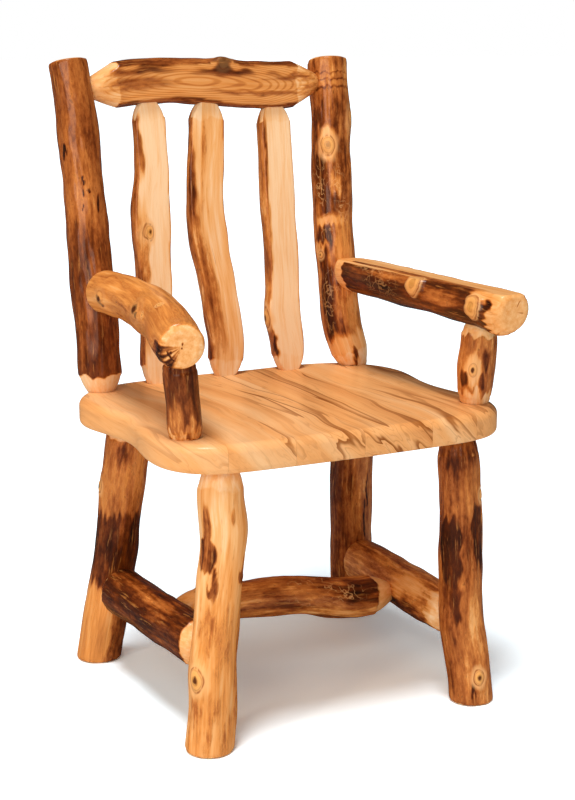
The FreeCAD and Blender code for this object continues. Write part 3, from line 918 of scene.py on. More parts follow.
@dataclass(frozen=True)
class BoardFinish:
    """Clear-finished planed board whose figure runs from front to back.

    Attributes:
        name: Name of the finish.
        seed: Moves the noise.
        edges: Places across of the board's two glue lines.
        warmth: Moves the ground colour towards the deeper tones.
        figure: Strength of the dark lines.
    """

    name: str
    seed: float
    edges: Pair
    warmth: float
    figure: float

    def make(self) -> bpy.types.Material:
        """Build the material.

        Returns:
            The material.
        """
        material = bpy.data.materials.new(self.name)
        graph = Graph(material)
        spot = graph.node("ShaderNodeTexCoord", {}, {}, "Object")
        split = graph.node("ShaderNodeSeparateXYZ", {}, {0: spot}, "X")
        level = split.sibling("Z")
        sway = graph.noise(spot, BOARD_SWAY, self.seed).centred() * BOARD_BEND
        places = (split + sway + level * BOARD_SLANT, split.sibling("Y") * GRAIN_SQUEEZE[0],
                  level * GRAIN_SQUEEZE[1])
        bent = graph.node("ShaderNodeCombineXYZ", {}, dict(enumerate(places)))
        layers = (BOARD_FINE, BOARD_BODY, BOARD_FLAME, BOARD_CONTOUR, BOARD_SPARSE)
        fine, body, flame, contour, sparse = [graph.noise(bent, layer, self.seed) for layer in layers]

        tone = (body + flame) * GROUND_BODY + fine * GROUND_FINE + self.warmth
        line = self.contour_line((contour * CONTOURS).fraction())
        thread = self.contour_line((contour * THREADS).fraction())
        weight = sparse.step(*FIGURE_AREAS) * self.figure
        covers = (thread * (weight * THREAD_SHARE + THREAD_FLOOR), line * (weight + FIGURE_FLOOR),
                  fine.step(*PORE_RANGE) * PORE_COVER, self.glue(split) * GLUE_COVER)
        colour = graph.paint(graph.ramp(tone, SEAT_STOPS), *((cover, SEAT_LINE) for cover in covers))
        rough = fine * BOARD_ROUGH_FINE + BOARD_ROUGH_LEVEL
        height = fine * BOARD_RELIEF[0] + line * BOARD_RELIEF[1]
        graph.finish(colour, rough, height, BOARD_BUMP, BOARD_COAT)
        return material

    def contour_line(self, folds: Value) -> Value:
        """A line that darkens slowly and ends sharply, once as the value rises from 0 to 1."""
        return folds.step(*LINE_RISE) * (1.0 - folds.step(*LINE_END))

    def glue(self, across: Value) -> Value:
        """Thin lines along the board's glued edges, by the place across the seat."""
        first, second = (across.near(edge, 1.0 / GLUE_LINE) for edge in self.edges)
        return first.larger(second)


@dataclass(frozen=True)
class Fray:
    """Places on a log, and the ripples that fray a patch's edges there.

    Attributes:
        along: Share of the length at each ring.
        drip: Ripple along the log, as a share of its length.
        sway: Ripple round the log, in radians.
    """

    along: np.ndarray
    drip: np.ndarray
    sway: np.ndarray

    def weight(self, patch: Patch) -> np.ndarray:
        """How much of a patch lies at each point, from the rounded distance (|u|^n + |v|^n)^(1/n).

        Args:
            patch: The patch.

        Returns:
            0 to 1 over rings and angles.
        """
        turn = turn_from(ANGLES + patch.fray * self.sway, patch.angle)
        across = np.abs(turn) / math.radians(patch.half_width)
        gap = np.abs(self.along[:, None] + patch.fray * self.drip - patch.along_share)
        length = gap / patch.half_length_share
        far = (across ** PATCH_POWER + length ** PATCH_POWER) ** (1.0 / PATCH_POWER)
        return 1.0 - smooth_step(1.0 - patch.soft_share, 1.0 + patch.soft_share, far)


@dataclass
class LogPiece:
    """One log as a surface p(s, a) = c(s) + r(s, a) (cos a side + sin a rise) with closed ends.

    The radius r is the solid's, rippled and swollen by knots, then cut back by the turned or sawn
    ends and by a planed flat, as the real tools do. Bark stands a little proud of bare wood.

    Attributes:
        node: Node of the solid that it stands for.
        slot: Material slot; not used.
        line: Its centre line.
        first: Shape of its start.
        last: Shape of its finish.
        facing: Way its planed flat faces.
        flat: Distance of the flat from the straight line.
        look: Its colouring.
    """

    node: str
    slot: str
    line: Centreline
    first: LogEnd
    last: LogEnd
    facing: Facing = Facing.NONE
    flat: float = 0.0
    look: Look = field(init=False)

    def __post_init__(self) -> None:
        """Find the log's colouring."""
        self.look = LOOKS[self.node]

    def surface(self) -> dict[str, np.ndarray]:
        """Points and attributes of the rings.

        Returns:
            Arrays over rings and angles: points, straight places and the masks.
        """
        line = self.line
        seed = self.look.seed
        low = self.first.inset
        high = line.length - self.last.inset
        reach = np.linspace(low, high, int((high - low) / RING_STEP) + 2)
        along = reach / line.length
        row = line.row(along)
        base = row[:, 2:3] * line.girth / 2
        straight = straightened(base, reach)
        knot, knot_dark, knot_heart, lump = self.knot_fields(along, base, straight)
        radius = base + SWELL.over(straight, seed) + FACET.over(straight, seed) + lump
        roots = np.interp((low + self.first.length, high - self.last.length), reach, base[:, 0])
        limit = np.minimum(self.first.limit(reach - low, roots[0]), self.last.limit(high - reach, roots[1]))
        depth = np.where(reach - low < high - reach, self.first.bark, self.last.bark)
        spare = radius - limit[:, None] - depth[:, None]
        cut = smooth_step(0.0, CUT_EDGE, spare + SCALLOP.over(straight, seed))
        radius = soft_min(radius, limit[:, None], CUT_BLEND)
        planed = np.zeros_like(radius)
        if self.facing is not Facing.NONE:
            plane = self.flat_limit(row)
            planed = smooth_step(0.0, CUT_EDGE, radius - plane)
            radius = soft_min(radius, plane, FLAT_BLEND)
        drip = FRAY_DRIP.over(straight, seed) / line.length
        fray = Fray(along, drip, FRAY_SWAY.over(straight, seed))
        tone, cut = self.tone_fields(fray, cut, planed)
        bark = smooth_step(*BARK_TONES, tone) * (1.0 - cut)
        radius = np.maximum(radius + (BARK_RISE + RIDGE.over(straight, seed)) * bark, 0.0)
        scrawl = np.zeros_like(radius)
        for patch in self.look.scrawls:
            scrawl = np.maximum(scrawl, patch.tone * fray.weight(patch))
        return {"points": self.points(along, reach - low, radius), "straight": straightened(radius, reach),
                "tone": tone, "cut": cut, "ring": planed * self.look.rings, "knot": knot,
                "knot_dark": knot_dark, "knot_heart": knot_heart, "scrawl": scrawl}

    def points(self, along: np.ndarray, gap: np.ndarray, radius: np.ndarray) -> np.ndarray:
        """Rings about the centre line, slid along it near the floor until a foot is level.

        Args:
            along: Share of the length at each ring.
            gap: Distance of each ring from the log's start.
            radius: Radius over rings and angles.

        Returns:
            The points over rings and angles.
        """
        centres = self.line.centres(along)
        heading = np.gradient(centres, axis=0)
        heading = heading / np.linalg.norm(heading, axis=1, keepdims=True)
        side = self.line.side - heading * (heading @ self.line.side)[:, None]
        side = side / np.linalg.norm(side, axis=1, keepdims=True)
        rise = np.cross(heading, side)
        spokes = np.cos(ANGLES)[:, None] * side[:, None, :] + np.sin(ANGLES)[:, None] * rise[:, None, :]
        offset = radius[..., None] * spokes
        if self.first.kind is EndKind.FLOOR:
            weight = 1.0 - smooth_step(0.0, FOOT_BLEND, gap)
            drop = offset[..., 2] / heading[:, None, 2] * weight[:, None]
            offset = offset - drop[..., None] * heading[:, None, :]
        return centres[:, None, :] + offset

    def flat_limit(self, row: np.ndarray) -> np.ndarray:
        """Radius out to the planed flat, d / cos(a - a0), with d less the bow towards it.

        Args:
            row: Shares of the centre line at each ring.

        Returns:
            Array over rings and angles.
        """
        facing_angle = FACING_ANGLES[self.facing]
        bow = row[:, 0:1] * math.cos(facing_angle) + row[:, 1:2] * math.sin(facing_angle)
        distance = self.flat - bow * self.line.girth
        facing = np.cos(ANGLES - facing_angle)[None, :]
        return np.where(facing > FLAT_GRAZING, distance / np.maximum(facing, FLAT_GRAZING), NO_LIMIT)

    def knot_fields(self, along: np.ndarray, base: np.ndarray,
                    straight: np.ndarray) -> tuple[np.ndarray, ...]:
        """Distance q to the nearest knot in knot sizes, its darkness, its heart's, and the lump.

        A grown-over knot swells as h exp(-q^2 / 2); a sawn stub is a plateau of height h. A groove
        g exp(-((q - 1) / w)^2) runs round either.

        Args:
            along: Share of the length at each ring.
            base: Radius at each ring.
            straight: Places in straightened log space.

        Returns:
            The four arrays over rings and angles.
        """
        uneven = KNOT_UNEVEN.over(straight, self.look.seed)
        nearest = np.full_like(uneven, KNOT_FAR)
        darkness = np.zeros_like(uneven)
        heart = np.zeros_like(uneven)
        lump = np.zeros_like(uneven)
        for knot in self.look.knots:
            size = knot.size_share * self.line.girth
            across = turn_from(ANGLES, knot.angle)[None, :] * base / size
            length = (along - knot.along_share)[:, None] * self.line.length / (size * knot.stretch)
            gap = np.sqrt(across ** 2 + length ** 2) * (1.0 + uneven)
            swell = np.exp(-gap * gap / 2)
            shown = gap
            if knot.sawn:
                swell = 1.0 - smooth_step(*STUB_EDGE, gap)
                shown = gap + STUB_CRISP * np.maximum(gap - 1.0, 0.0)
            nearer = shown < nearest
            nearest = np.where(nearer, shown, nearest)
            darkness = np.where(nearer, knot.dark, darkness)
            heart = np.where(nearer, knot.heart, heart)
            groove = KNOT_GROOVE_DEPTH * knot.dark * np.exp(-((gap - 1.0) / KNOT_GROOVE_SHARE) ** 2)
            lump = lump + knot.height_share * self.line.girth * swell - groove
        return nearest, darkness, heart, lump

    def tone_fields(self, fray: Fray, cut: np.ndarray, planed: np.ndarray) -> tuple[np.ndarray, np.ndarray]:
        """Tone of the surface before the shader's noise, and the cut faces left bare.

        Args:
            fray: Places on the log.
            cut: 1 on turned and sawn faces.
            planed: 1 on the planed flat.

        Returns:
            Tone, and all cut faces less the patches that lie over them.
        """
        look = self.look
        tone = np.full_like(cut, look.tone)
        bare = look.cut_tone + (look.flat_tone - look.cut_tone) * planed * (1.0 - cut)
        bared = np.maximum(cut, planed)
        for patch in look.patches:
            weight = fray.weight(patch)
            tone = tone + (patch.tone - tone) * weight
            if patch.over_cut:
                bared = bared * (1.0 - weight)
        return tone * (1.0 - bared) + bare * bared, bared

    def end_marks(self, tone: np.ndarray, cut: np.ndarray) -> None:
        """Draw the marks into the rings of the last end's face.

        Args:
            tone: Tone over all rings, changed in place.
            cut: Cut mask over all rings, changed in place.
        """
        radius = 1.0 - FACE_SHARES
        for mark in self.look.marks:
            out = (radius - mark.radius_share)[:, None] / mark.half_out_share
            turn = turn_from(ANGLES, mark.angle)[None, :] / math.radians(mark.half_round)
            weight = 1.0 - smooth_step(*MARK_EDGE, np.sqrt(out ** 2 + turn ** 2))
            tone[-FACE_RINGS:] += (mark.tone - tone[-FACE_RINGS:]) * weight
            cut[-FACE_RINGS:] *= 1.0 - weight

    def faces(self, count: int) -> list[list[int]]:
        """Quads between rings and fans at the two poles.

        Args:
            count: Number of rings.

        Returns:
            Vertex numbers of each face.
        """
        ring = np.arange(AROUND)
        following = (ring + 1) % AROUND
        lower = np.arange(count - 1)[:, None] * AROUND
        upper = lower + AROUND
        quads = np.stack([lower + ring, lower + following, upper + following, upper + ring], axis=-1)
        start_pole = count * AROUND
        top = start_pole - AROUND
        start_fan = np.stack([np.full(AROUND, start_pole), following, ring], axis=-1)
        finish_fan = np.stack([np.full(AROUND, start_pole + 1), top + ring, top + following], axis=-1)
        return quads.reshape(-1, 4).tolist() + start_fan.tolist() + finish_fan.tolist()

    def capped(self, grid: np.ndarray) -> tuple[np.ndarray, np.ndarray]:
        """Rings shrunk towards the two end centres, put before and after the grid.

        Args:
            grid: Array over rings and angles.

        Returns:
            The longer grid, and the values at the two poles.
        """
        first = grid[0].mean(axis=0)
        last = grid[-1].mean(axis=0)
        share = FACE_SHARES.reshape((-1,) + (1,) * (grid.ndim - 1))
        before = first + (grid[:1] - first) * share
        after = grid[-1:] + (last - grid[-1:]) * share
        return np.concatenate([before, grid, after]), np.stack([first, last])

    def build(self) -> None:
        """Make the mesh with its attributes and material."""
        capped = {name: self.capped(grid) for name, grid in self.surface().items()}
        self.end_marks(capped["tone"][0], capped["cut"][0])
        arrays = {}
        for name, (grid, poles) in capped.items():
            width = grid.shape[-1] if grid.ndim == 3 else 1
            arrays[name] = np.concatenate([grid.reshape(-1, width), poles.reshape(-1, width)])
        mesh = bpy.data.meshes.new(self.node + "_look")
        mesh.from_pydata(arrays.pop("points").tolist(), [], self.faces(len(capped["tone"][0])))
        for name, values in arrays.items():
            vector = values.shape[1] == 3
            layer = mesh.attributes.new(name, "FLOAT_VECTOR" if vector else "FLOAT", "POINT")
            layer.data.foreach_set("vector" if vector else "value", values.astype(np.float32).ravel())
        mesh.polygons.foreach_set("use_smooth", np.ones(len(mesh.polygons), dtype=bool))
        mesh.materials.append(LogFinish(self.node + "_wood", self.look).make())
        mesh.update()
        piece = bpy.data.objects.new(self.node + "_look", mesh)
        bpy.context.scene.collection.objects.link(piece)
        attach(piece, "root")
        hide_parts(self.node)
        log.info("%s: %d faces", piece.name, len(mesh.polygons))


# Colouring of each log, as seen in the photograph where it shows
LOOKS = {
    "front_left_leg": Look(
        11, 0.12, 0.14, mottle=0.42, streak=0.60, warmth=0.24, patches=(
            Patch(0.42, 250, 0.10, 90, 0.25, 0.7), Patch(0.10, 195, 0.12, 40, 0.28, 0.6),
            Patch(0.25, 330, 0.35, 26, 0.36, 0.5), Patch(0.86, 262, 0.14, 60, 0.02, 0.6),
            Patch(0.47, 226, 0.03, 20, 0.36, 0.8), Patch(0.40, 266, 0.05, 18, 0.36, 0.8),
            Patch(0.17, 250, 0.05, 20, 0.32, 0.8), Patch(0.06, 290, 0.05, 22, 0.36, 0.8),
            Patch(0.700, 200, 0.060, 29, 0.58, 0.10, fray=0.3),
            Patch(0.80, 202, 0.085, 11, 0.58, 0.2, fray=0.5),
            Patch(0.59, 228, 0.027, 16, 0.50, 0.3), Patch(0.65, 304, 0.042, 14, 0.56, 0.2),
            Patch(0.83, 276, 0.025, 6, 0.40), Patch(0.985, 250, 0.02, 120, 0.0, 0.4)),
        knots=(Knot(0.268, 206, 0.18, 0.066, 1.4),)),
    "front_right_leg": Look(
        23, 0.46, mottle=0.30, streak=0.5, patches=(
            Patch(0.20, 262, 0.24, 46, 0.40, 0.5), Patch(0.20, 196, 0.25, 26, 0.56, 0.5),
            Patch(0.57, 208, 0.13, 34, 0.75, 0.10), Patch(0.64, 294, 0.11, 24, 0.75, 0.10),
            Patch(0.55, 254, 0.17, 9, 0.50, 0.3), Patch(0.39, 224, 0.07, 12, 0.70, 0.3),
            Patch(0.93, 215, 0.05, 16, 0.66, 0.4), Patch(0.05, 241, 0.02, 7, 0.75),
            Patch(0.98, 240, 0.07, 200, 0.54, 0.3, True)),
        knots=(Knot(0.107, 264, 0.13, 0.029, 1.3), Knot(0.78, 322, 0.12, 0.029, 1.2),
               Knot(0.44, 28, 0.15, 0.03, 1.4, 0.7))),
    "rear_left_leg": Look(
        35, 0.40, 0.10, mottle=0.38, streak=0.5, warmth=0.40, patches=(
            Patch(0.85, 225, 0.12, 90, 0.38, 0.5), Patch(0.88, 236, 0.03, 16, 0.56),
            Patch(0.49, 250, 0.155, 130, 0.69, 0.15), Patch(0.13, 205, 0.20, 64, 0.20, 0.10, fray=0.7),
            Patch(0.15, 312, 0.24, 38, 0.58, 0.3)),
        knots=(Knot(0.735, 172, 0.12, 0.044, 1.4, 0.9), Knot(0.40, 95, 0.14, 0.03, 1.4, 0.7))),
    "rear_right_leg": Look(
        47, 0.50, mottle=0.28, streak=0.5, patches=(
            Patch(0.5, 195, 0.5, 30, 0.60, 0.6), Patch(0.6, 290, 0.3, 25, 0.44, 0.6),
            Patch(0.60, 292, 0.07, 2.5, 0.95), Patch(0.48, 281, 0.07, 2.5, 0.95),
            Patch(0.98, 240, 0.09, 200, 0.52, 0.3, True)),
        knots=(Knot(0.52, 62, 0.15, 0.03, 1.4, 0.7),)),
    "left_side_stretcher": Look(
        59, 0.70, 0.26, mottle=0.40, streak=0.5, patches=(
            Patch(0.5, 112, 0.32, 18, 0.48, 0.5), Patch(0.62, 150, 0.12, 14, 0.54, 0.5)),
        knots=(Knot(0.42, 352, 0.14, 0.03, 1.4, 0.7),)),
    "right_side_stretcher": Look(
        61, 0.42, 0.22, mottle=0.46, streak=0.6, warmth=0.20, patches=(
            Patch(0.60, 210, 0.3, 26, 0.64, 0.4), Patch(0.64, 142, 0.15, 30, 0.22, 0.7),
            Patch(0.92, 150, 0.06, 70, 0.14, 0.4))),
    "centre_stretcher": Look(
        79, 0.50, 0.42, mottle=0.52, streak=0.5, patches=(
            Patch(0.35, 150, 0.15, 40, 0.42, 0.5), Patch(0.80, 150, 0.09, 60, 0.72, 0.4),
            Patch(0.55, 218, 0.3, 20, 0.40, 0.5)),
        scrawls=(Patch(0.64, 150, 0.14, 44, 1.0),)),
    "left_back_post": Look(
        85, 0.51, mottle=0.20, streak=0.34, patches=(
            Patch(0.62, 250, 0.12, 60, 0.42, 0.6), Patch(0.34, 235, 0.16, 90, 0.62, 0.6),
            Patch(0.10, 225, 0.12, 90, 0.62, 0.5), Patch(0.725, 202, 0.012, 9, 0.98),
            Patch(0.63, 246, 0.010, 3, 0.9), Patch(0.605, 252, 0.012, 3, 0.9),
            Patch(0.58, 246, 0.010, 3, 0.9),
            Patch(0.60, 264, 0.008, 3, 0.9), Patch(0.57, 288, 0.03, 4, 0.85)),
        knots=(Knot(0.32, 75, 0.16, 0.03, 1.4, 0.7), Knot(0.62, 22, 0.12, 0.02, 1.3, 0.7))),
    "right_back_post": Look(
        97, 0.42, mottle=0.44, streak=0.5, warmth=0.16, patches=(
            Patch(0.83, 240, 0.07, 90, 0.52, 0.4), Patch(0.80, 205, 0.05, 22, 0.64, 0.4),
            Patch(0.947, 236, 0.0026, 70, 0.60, 0.6, fray=0.25),
            Patch(0.925, 250, 0.0026, 70, 0.60, 0.6, fray=0.25),
            Patch(0.900, 232, 0.0040, 90, 0.64, 0.6, fray=0.25), Patch(0.62, 205, 0.05, 20, 0.62, 0.5),
            Patch(0.72, 231, 0.050, 22, 0.04, 0.3, fray=0.3), Patch(0.53, 222, 0.06, 45, 0.62, 0.4),
            Patch(0.58, 262, 0.03, 26, 0.20, 0.5), Patch(0.47, 236, 0.014, 44, 0.16, 0.5, fray=0.4),
            Patch(0.42, 210, 0.04, 26, 0.68, 0.4), Patch(0.64, 285, 0.12, 16, 0.62, 0.5),
            Patch(0.385, 195, 0.02, 24, 0.18, 0.4), Patch(0.22, 206, 0.15, 22, 0.70, 0.3),
            Patch(0.30, 248, 0.05, 10, 0.62, 0.4), Patch(0.12, 236, 0.05, 10, 0.62, 0.4),
            Patch(0.25, 275, 0.2, 22, 0.34, 0.5), Patch(0.05, 235, 0.05, 100, 0.12, 0.3, fray=0.6),
            Patch(0.018, 253, 0.025, 14, 0.55, 0.5, True)),
        knots=(Knot(0.710, 231, 0.18, 0.062, 1.5, 0.85, False, 0.45), Knot(0.362, 192, 0.09, 0.015, 1.2, 0.8),
               Knot(0.80, 322, 0.18, 0.062, 1.5, 0.5), Knot(0.24, 95, 0.15, 0.03, 1.4, 0.7)),
        scrawls=(Patch(0.53, 232, 0.10, 60, 1.0, 0.5), Patch(0.22, 225, 0.1, 40, 0.5, 0.5))),
    "crest_rail": Look(
        101, 0.56, 0.08, 0.49, mottle=0.30, streak=0.4, rings=0.24, patches=(
            Patch(0.55, 146, 0.10, 10, 0.62, 0.5, True), Patch(0.85, 150, 0.10, 9, 0.52, 0.6, True),
            Patch(0.20, 142, 0.12, 9, 0.56, 0.6, True), Patch(0.70, 208, 0.16, 7, 0.46, 0.6, True),
            Patch(0.22, 180, 0.10, 20, 0.50, 0.7, True), Patch(0.915, 180, 0.05, 300, 0.34, 0.5, True),
            Patch(0.09, 190, 0.05, 60, 0.24, 0.8, True), Patch(0.542, 128, 0.030, 20, 0.74, 0.4, True, 0.4)),
        knots=(Knot(0.545, 122, 0.14, 0.12, 1.2, 0.12, False, 0.5), Knot(0.30, 20, 0.14, 0.03, 1.4, 0.7))),
    "left_spindle": Look(
        113, 0.46, 0.02, -0.02, mottle=0.36, patches=(
            Patch(0.50, 150, 0.43, 55, 0.48, 0.04, True, 0.4), Patch(0.78, 204, 0.10, 8, 0.58, 0.4, True),
            Patch(0.44, 214, 0.14, 16, 0.34, 0.6, True), Patch(0.24, 206, 0.10, 14, 0.50, 0.5, True)),
        knots=(Knot(0.502, 238, 0.25, 0.034, 0.95),)),
    "centre_spindle": Look(
        127, 0.48, 0.03, 0.18, mottle=0.46, streak=0.6, patches=(
            Patch(0.50, 150, 0.43, 60, 0.42, 0.05, True, 0.4), Patch(0.64, 200, 0.13, 9, 0.62, 0.4, True),
            Patch(0.32, 216, 0.24, 26, 0.45, 0.7, True, 0.4),
            Patch(0.74, 232, 0.16, 10, 0.30, 0.8, True, 0.4),
            Patch(0.52, 246, 0.30, 6, 0.30, 0.8, True, 0.4),
            Patch(0.36, 262, 0.26, 14, 0.02, 0.8, True, 0.4)),
        knots=(Knot(0.62, 80, 0.15, 0.03, 1.4, 0.7),)),
    "right_spindle": Look(
        131, 0.40, 0.02, -0.05, mottle=0.30, patches=(
            Patch(0.52, 150, 0.42, 58, 0.39, 0.03, True, 0.25), Patch(0.09, 198, 0.035, 10, 0.74, 0.3, True),
            Patch(0.75, 206, 0.16, 2.5, 0.62, 0.4, True, 0.2)),
        knots=(Knot(0.188, 178, 0.16, 0.069, 1.5), Knot(0.70, 100, 0.14, 0.03, 1.4, 0.7))),
    "left_arm": Look(
        139, 0.17, 0.24, mottle=0.42, streak=0.62, warmth=0.50, patches=(
            Patch(0.30, 140, 0.1, 40, 0.02, 0.6), Patch(0.88, 70, 0.14, 24, 0.32, 0.5),
            # Patch(0.60, 214) darkens the lower outer side along most of the arm, towards its underside:
            # painted shade.
            Patch(0.60, 214, 0.28, 26, 0.30, 0.5), Patch(0.95, 205, 0.04, 40, 0.40, 0.5),
            Patch(0.45, 172, 0.20, 10, 0.32, 0.7), Patch(0.30, 118, 0.20, 7, 0.34, 0.7),
            Patch(0.70, 132, 0.16, 6, 0.34, 0.7), Patch(0.16, 150, 0.09, 12, 0.34, 0.7),
            Patch(0.242, 182, 0.020, 9, 0.85, 0.6, fray=0.5), Patch(0.255, 196, 0.012, 6, 0.9, 0.6, fray=0.5),
            Patch(0.627, 158, 0.018, 10, 0.92, 0.5, fray=0.5), Patch(0.66, 170, 0.010, 7, 0.9, 0.5, fray=0.5),
            Patch(0.968, 184, 0.034, 12, 0.80, 0.3, True, 0.3),
            Patch(0.985, 206, 0.018, 17, 0.78, 0.3, True, 0.3),
            Patch(0.994, 232, 0.010, 18, 0.72, 0.5, True, 0.3), Patch(0.93, 200, 0.03, 14, 0.46, 0.6)),
        knots=(Knot(0.242, 184, 0.18, 0.045, 1.2, 0.25), Knot(0.635, 162, 0.21, 0.067, 1.3, 0.2),
               Knot(0.71, 162, 0.06, 0.007, 1.2, 0.6), Knot(0.782, 113, 0.07, 0.009, 1.0)),
        marks=(EndMark(0.97, 211, 0.15, 19, 0.76), EndMark(0.97, 233, 0.08, 14, 0.70),
               EndMark(0.76, 207, 0.10, 8, 0.7), EndMark(0.13, 84, 0.13, 22, 0.6),
               EndMark(0.08, 262, 0.08, 30, 0.6))),
    "right_arm": Look(
        149, 0.73, 0.32, 0.30, mottle=0.42, streak=0.5, warmth=0.2, patches=(
            Patch(0.45, 148, 0.12, 16, 0.46, 0.5), Patch(0.72, 172, 0.10, 22, 0.54, 0.5),
            Patch(0.70, 140, 0.08, 12, 0.74, 0.4), Patch(0.90, 145, 0.05, 16, 0.20, 0.5),
            Patch(0.42, 122, 0.46, 14, 0.50, 0.15, True, 0.5), Patch(0.985, 170, 0.045, 130, 0.12, 0.2),
            Patch(0.098, 170, 0.040, 300, 0.12, 0.12, fray=0.4),
            Patch(0.952, 162, 0.014, 12, 0.85, 0.6, fray=0.4)),
        knots=(Knot(0.568, 158, 0.24, 0.118, 1.1, 0.9, True, 0.3), Knot(0.36, 2, 0.16, 0.03, 1.4, 0.7),
               Knot(0.95, 262, 0.42, 0.10, 0.9, 0.0, False, 0.0),
               Knot(0.885, 178, 0.24, 0.103, 1.05, 0.9, True, 0.3)),
        scrawls=(Patch(0.33, 165, 0.13, 50, 0.45),),
        marks=(EndMark(0.6, 60, 0.35, 3, 0.5), EndMark(0.55, 350, 0.3, 3, 0.45))),
    "left_arm_support": Look(
        151, 0.59, mottle=0.32, streak=0.5, patches=(
            Patch(0.25, 222, 0.15, 22, 0.42, 0.4), Patch(0.165, 272, 0.08, 12, 0.38, 0.4),
            Patch(0.6, 300, 0.3, 20, 0.70, 0.4), Patch(0.97, 230, 0.08, 200, 0.56, 0.3, True),
            Patch(0.05, 240, 0.06, 300, 0.34, 0.5))),
    "right_arm_support": Look(
        163, 0.44, mottle=0.40, streak=0.5, warmth=0.14, patches=(
            Patch(0.38, 228, 0.17, 24, 0.08, 0.3, fray=0.4), Patch(0.28, 200, 0.08, 14, 0.74, 0.3, fray=0.4),
            Patch(0.26, 258, 0.07, 10, 0.66, 0.3, fray=0.4), Patch(0.47, 272, 0.12, 12, 0.66, 0.4),
            Patch(0.03, 230, 0.09, 300, 0.10, 0.3), Patch(0.765, 230, 0.07, 300, 0.10, 0.15, fray=0.4)),
        knots=(Knot(0.375, 228, 0.12, 0.03, 1.7, 0.6),)),
}

# Ends of the logs over the seat plan, and rows of shares for their centre lines
LEG_TOP_SHARES = {"front_left": (-0.705, -0.766), "front_right": (0.705, -0.761),
                  "rear_left": (-0.717, 0.600), "rear_right": (0.717, 0.595)}
FOOT_SHARES = {"front_left": (-0.807, -0.826), "front_right": (0.755, -0.909),
               "rear_left": (-0.841, 0.931), "rear_right": (0.893, 0.941)}
LEG_ROW_SHARES = {
    "front_left": ((0.00, -0.03, 0.00, 1.03), (0.15, -0.02, 0.01, 1.02), (0.30, -0.02, 0.02, 1.02),
                   (0.45, 0.01, 0.02, 0.99), (0.60, 0.05, 0.02, 0.96), (0.70, 0.09, 0.01, 0.97),
                   (0.79, 0.09, 0.00, 1.02), (0.90, 0.00, 0.00, 0.98), (1.00, -0.02, 0.00, 0.94)),
    "front_right": ((0.00, 0.01, 0.00, 1.00), (0.15, -0.03, 0.00, 1.00), (0.30, -0.12, 0.02, 0.97),
                    (0.40, -0.10, 0.03, 0.95), (0.55, -0.05, 0.03, 0.95), (0.70, 0.00, 0.02, 0.93),
                    (0.85, 0.01, 0.01, 0.93), (1.00, 0.04, 0.00, 0.89)),
    "rear_left": ((0.00, -0.02, 0.00, 1.06), (0.15, 0.00, 0.01, 1.05), (0.30, 0.04, 0.02, 1.02),
                  (0.45, 0.05, 0.02, 1.01), (0.60, 0.04, 0.02, 1.01), (0.75, -0.01, 0.01, 1.03),
                  (0.88, -0.02, 0.00, 1.03), (1.00, 0.00, 0.00, 0.98)),
    "rear_right": ((0.00, 0.00, 0.00, 1.07), (0.20, 0.01, 0.01, 1.07), (0.40, 0.00, 0.03, 1.06),
                   (0.60, -0.01, 0.03, 1.05), (0.80, 0.00, 0.01, 1.05), (1.00, 0.00, 0.00, 1.00)),
}
LEFT_POST_SHARES = ((0.00, 0.03, 0.00, 1.00), (0.08, 0.05, 0.00, 1.03), (0.20, 0.08, 0.01, 1.03),
                    (0.40, 0.07, 0.02, 1.01), (0.60, 0.08, 0.02, 1.00), (0.80, 0.08, 0.01, 0.98),
                    (0.92, 0.03, 0.00, 0.96), (1.00, -0.02, 0.00, 0.94))
RIGHT_POST_SHARES = ((0.00, 0.06, 0.00, 0.95), (0.06, -0.09, 0.00, 0.98), (0.12, -0.22, 0.00, 1.00),
                     (0.20, -0.26, 0.01, 1.00), (0.30, -0.25, 0.02, 0.98), (0.45, -0.24, 0.02, 1.01),
                     (0.60, -0.18, 0.02, 1.02), (0.72, -0.12, 0.01, 0.98), (0.85, -0.07, 0.00, 0.99),
                     (0.93, -0.05, 0.00, 1.01), (1.00, -0.03, 0.00, 1.00))
LEFT_SPINDLE_SHARES = ((0.00, 0.05, 0.00, 0.90), (0.10, 0.08, 0.00, 0.93), (0.25, 0.10, 0.00, 0.94),
                       (0.40, 0.09, 0.00, 0.98), (0.50, 0.09, 0.00, 1.08), (0.58, 0.08, 0.00, 1.07),
                       (0.70, 0.18, 0.00, 0.96), (0.82, 0.18, 0.00, 0.93), (0.91, 0.14, 0.00, 0.93),
                       (1.00, 0.00, 0.00, 0.88))
CENTRE_SPINDLE_SHARES = ((0.00, -0.06, 0.00, 0.95), (0.11, 0.04, 0.00, 1.04), (0.20, -0.01, 0.00, 1.05),
                         (0.32, -0.09, 0.00, 1.02), (0.43, -0.22, 0.00, 1.02), (0.53, -0.29, 0.00, 1.05),
                         (0.65, -0.25, 0.00, 1.04), (0.80, -0.12, 0.00, 1.03), (0.92, -0.02, 0.00, 1.01),
                         (1.00, 0.00, 0.00, 0.95))
RIGHT_SPINDLE_SHARES = ((0.00, 0.00, 0.00, 0.93), (0.08, 0.00, 0.00, 0.98), (0.20, -0.09, 0.00, 1.06),
                        (0.30, -0.03, 0.00, 0.97), (0.50, -0.01, 0.00, 0.98), (0.70, 0.00, 0.00, 0.98),
                        (0.85, 0.02, 0.00, 1.00), (0.94, 0.00, 0.00, 1.00), (1.00, 0.00, 0.00, 0.95))
LEFT_SUPPORT_SHARES = ((0.00, 0.00, 0.00, 0.94), (0.20, 0.01, 0.00, 0.98), (0.45, 0.01, 0.00, 0.97),
                       (0.70, 0.01, 0.00, 0.94), (1.00, 0.03, 0.00, 0.92))
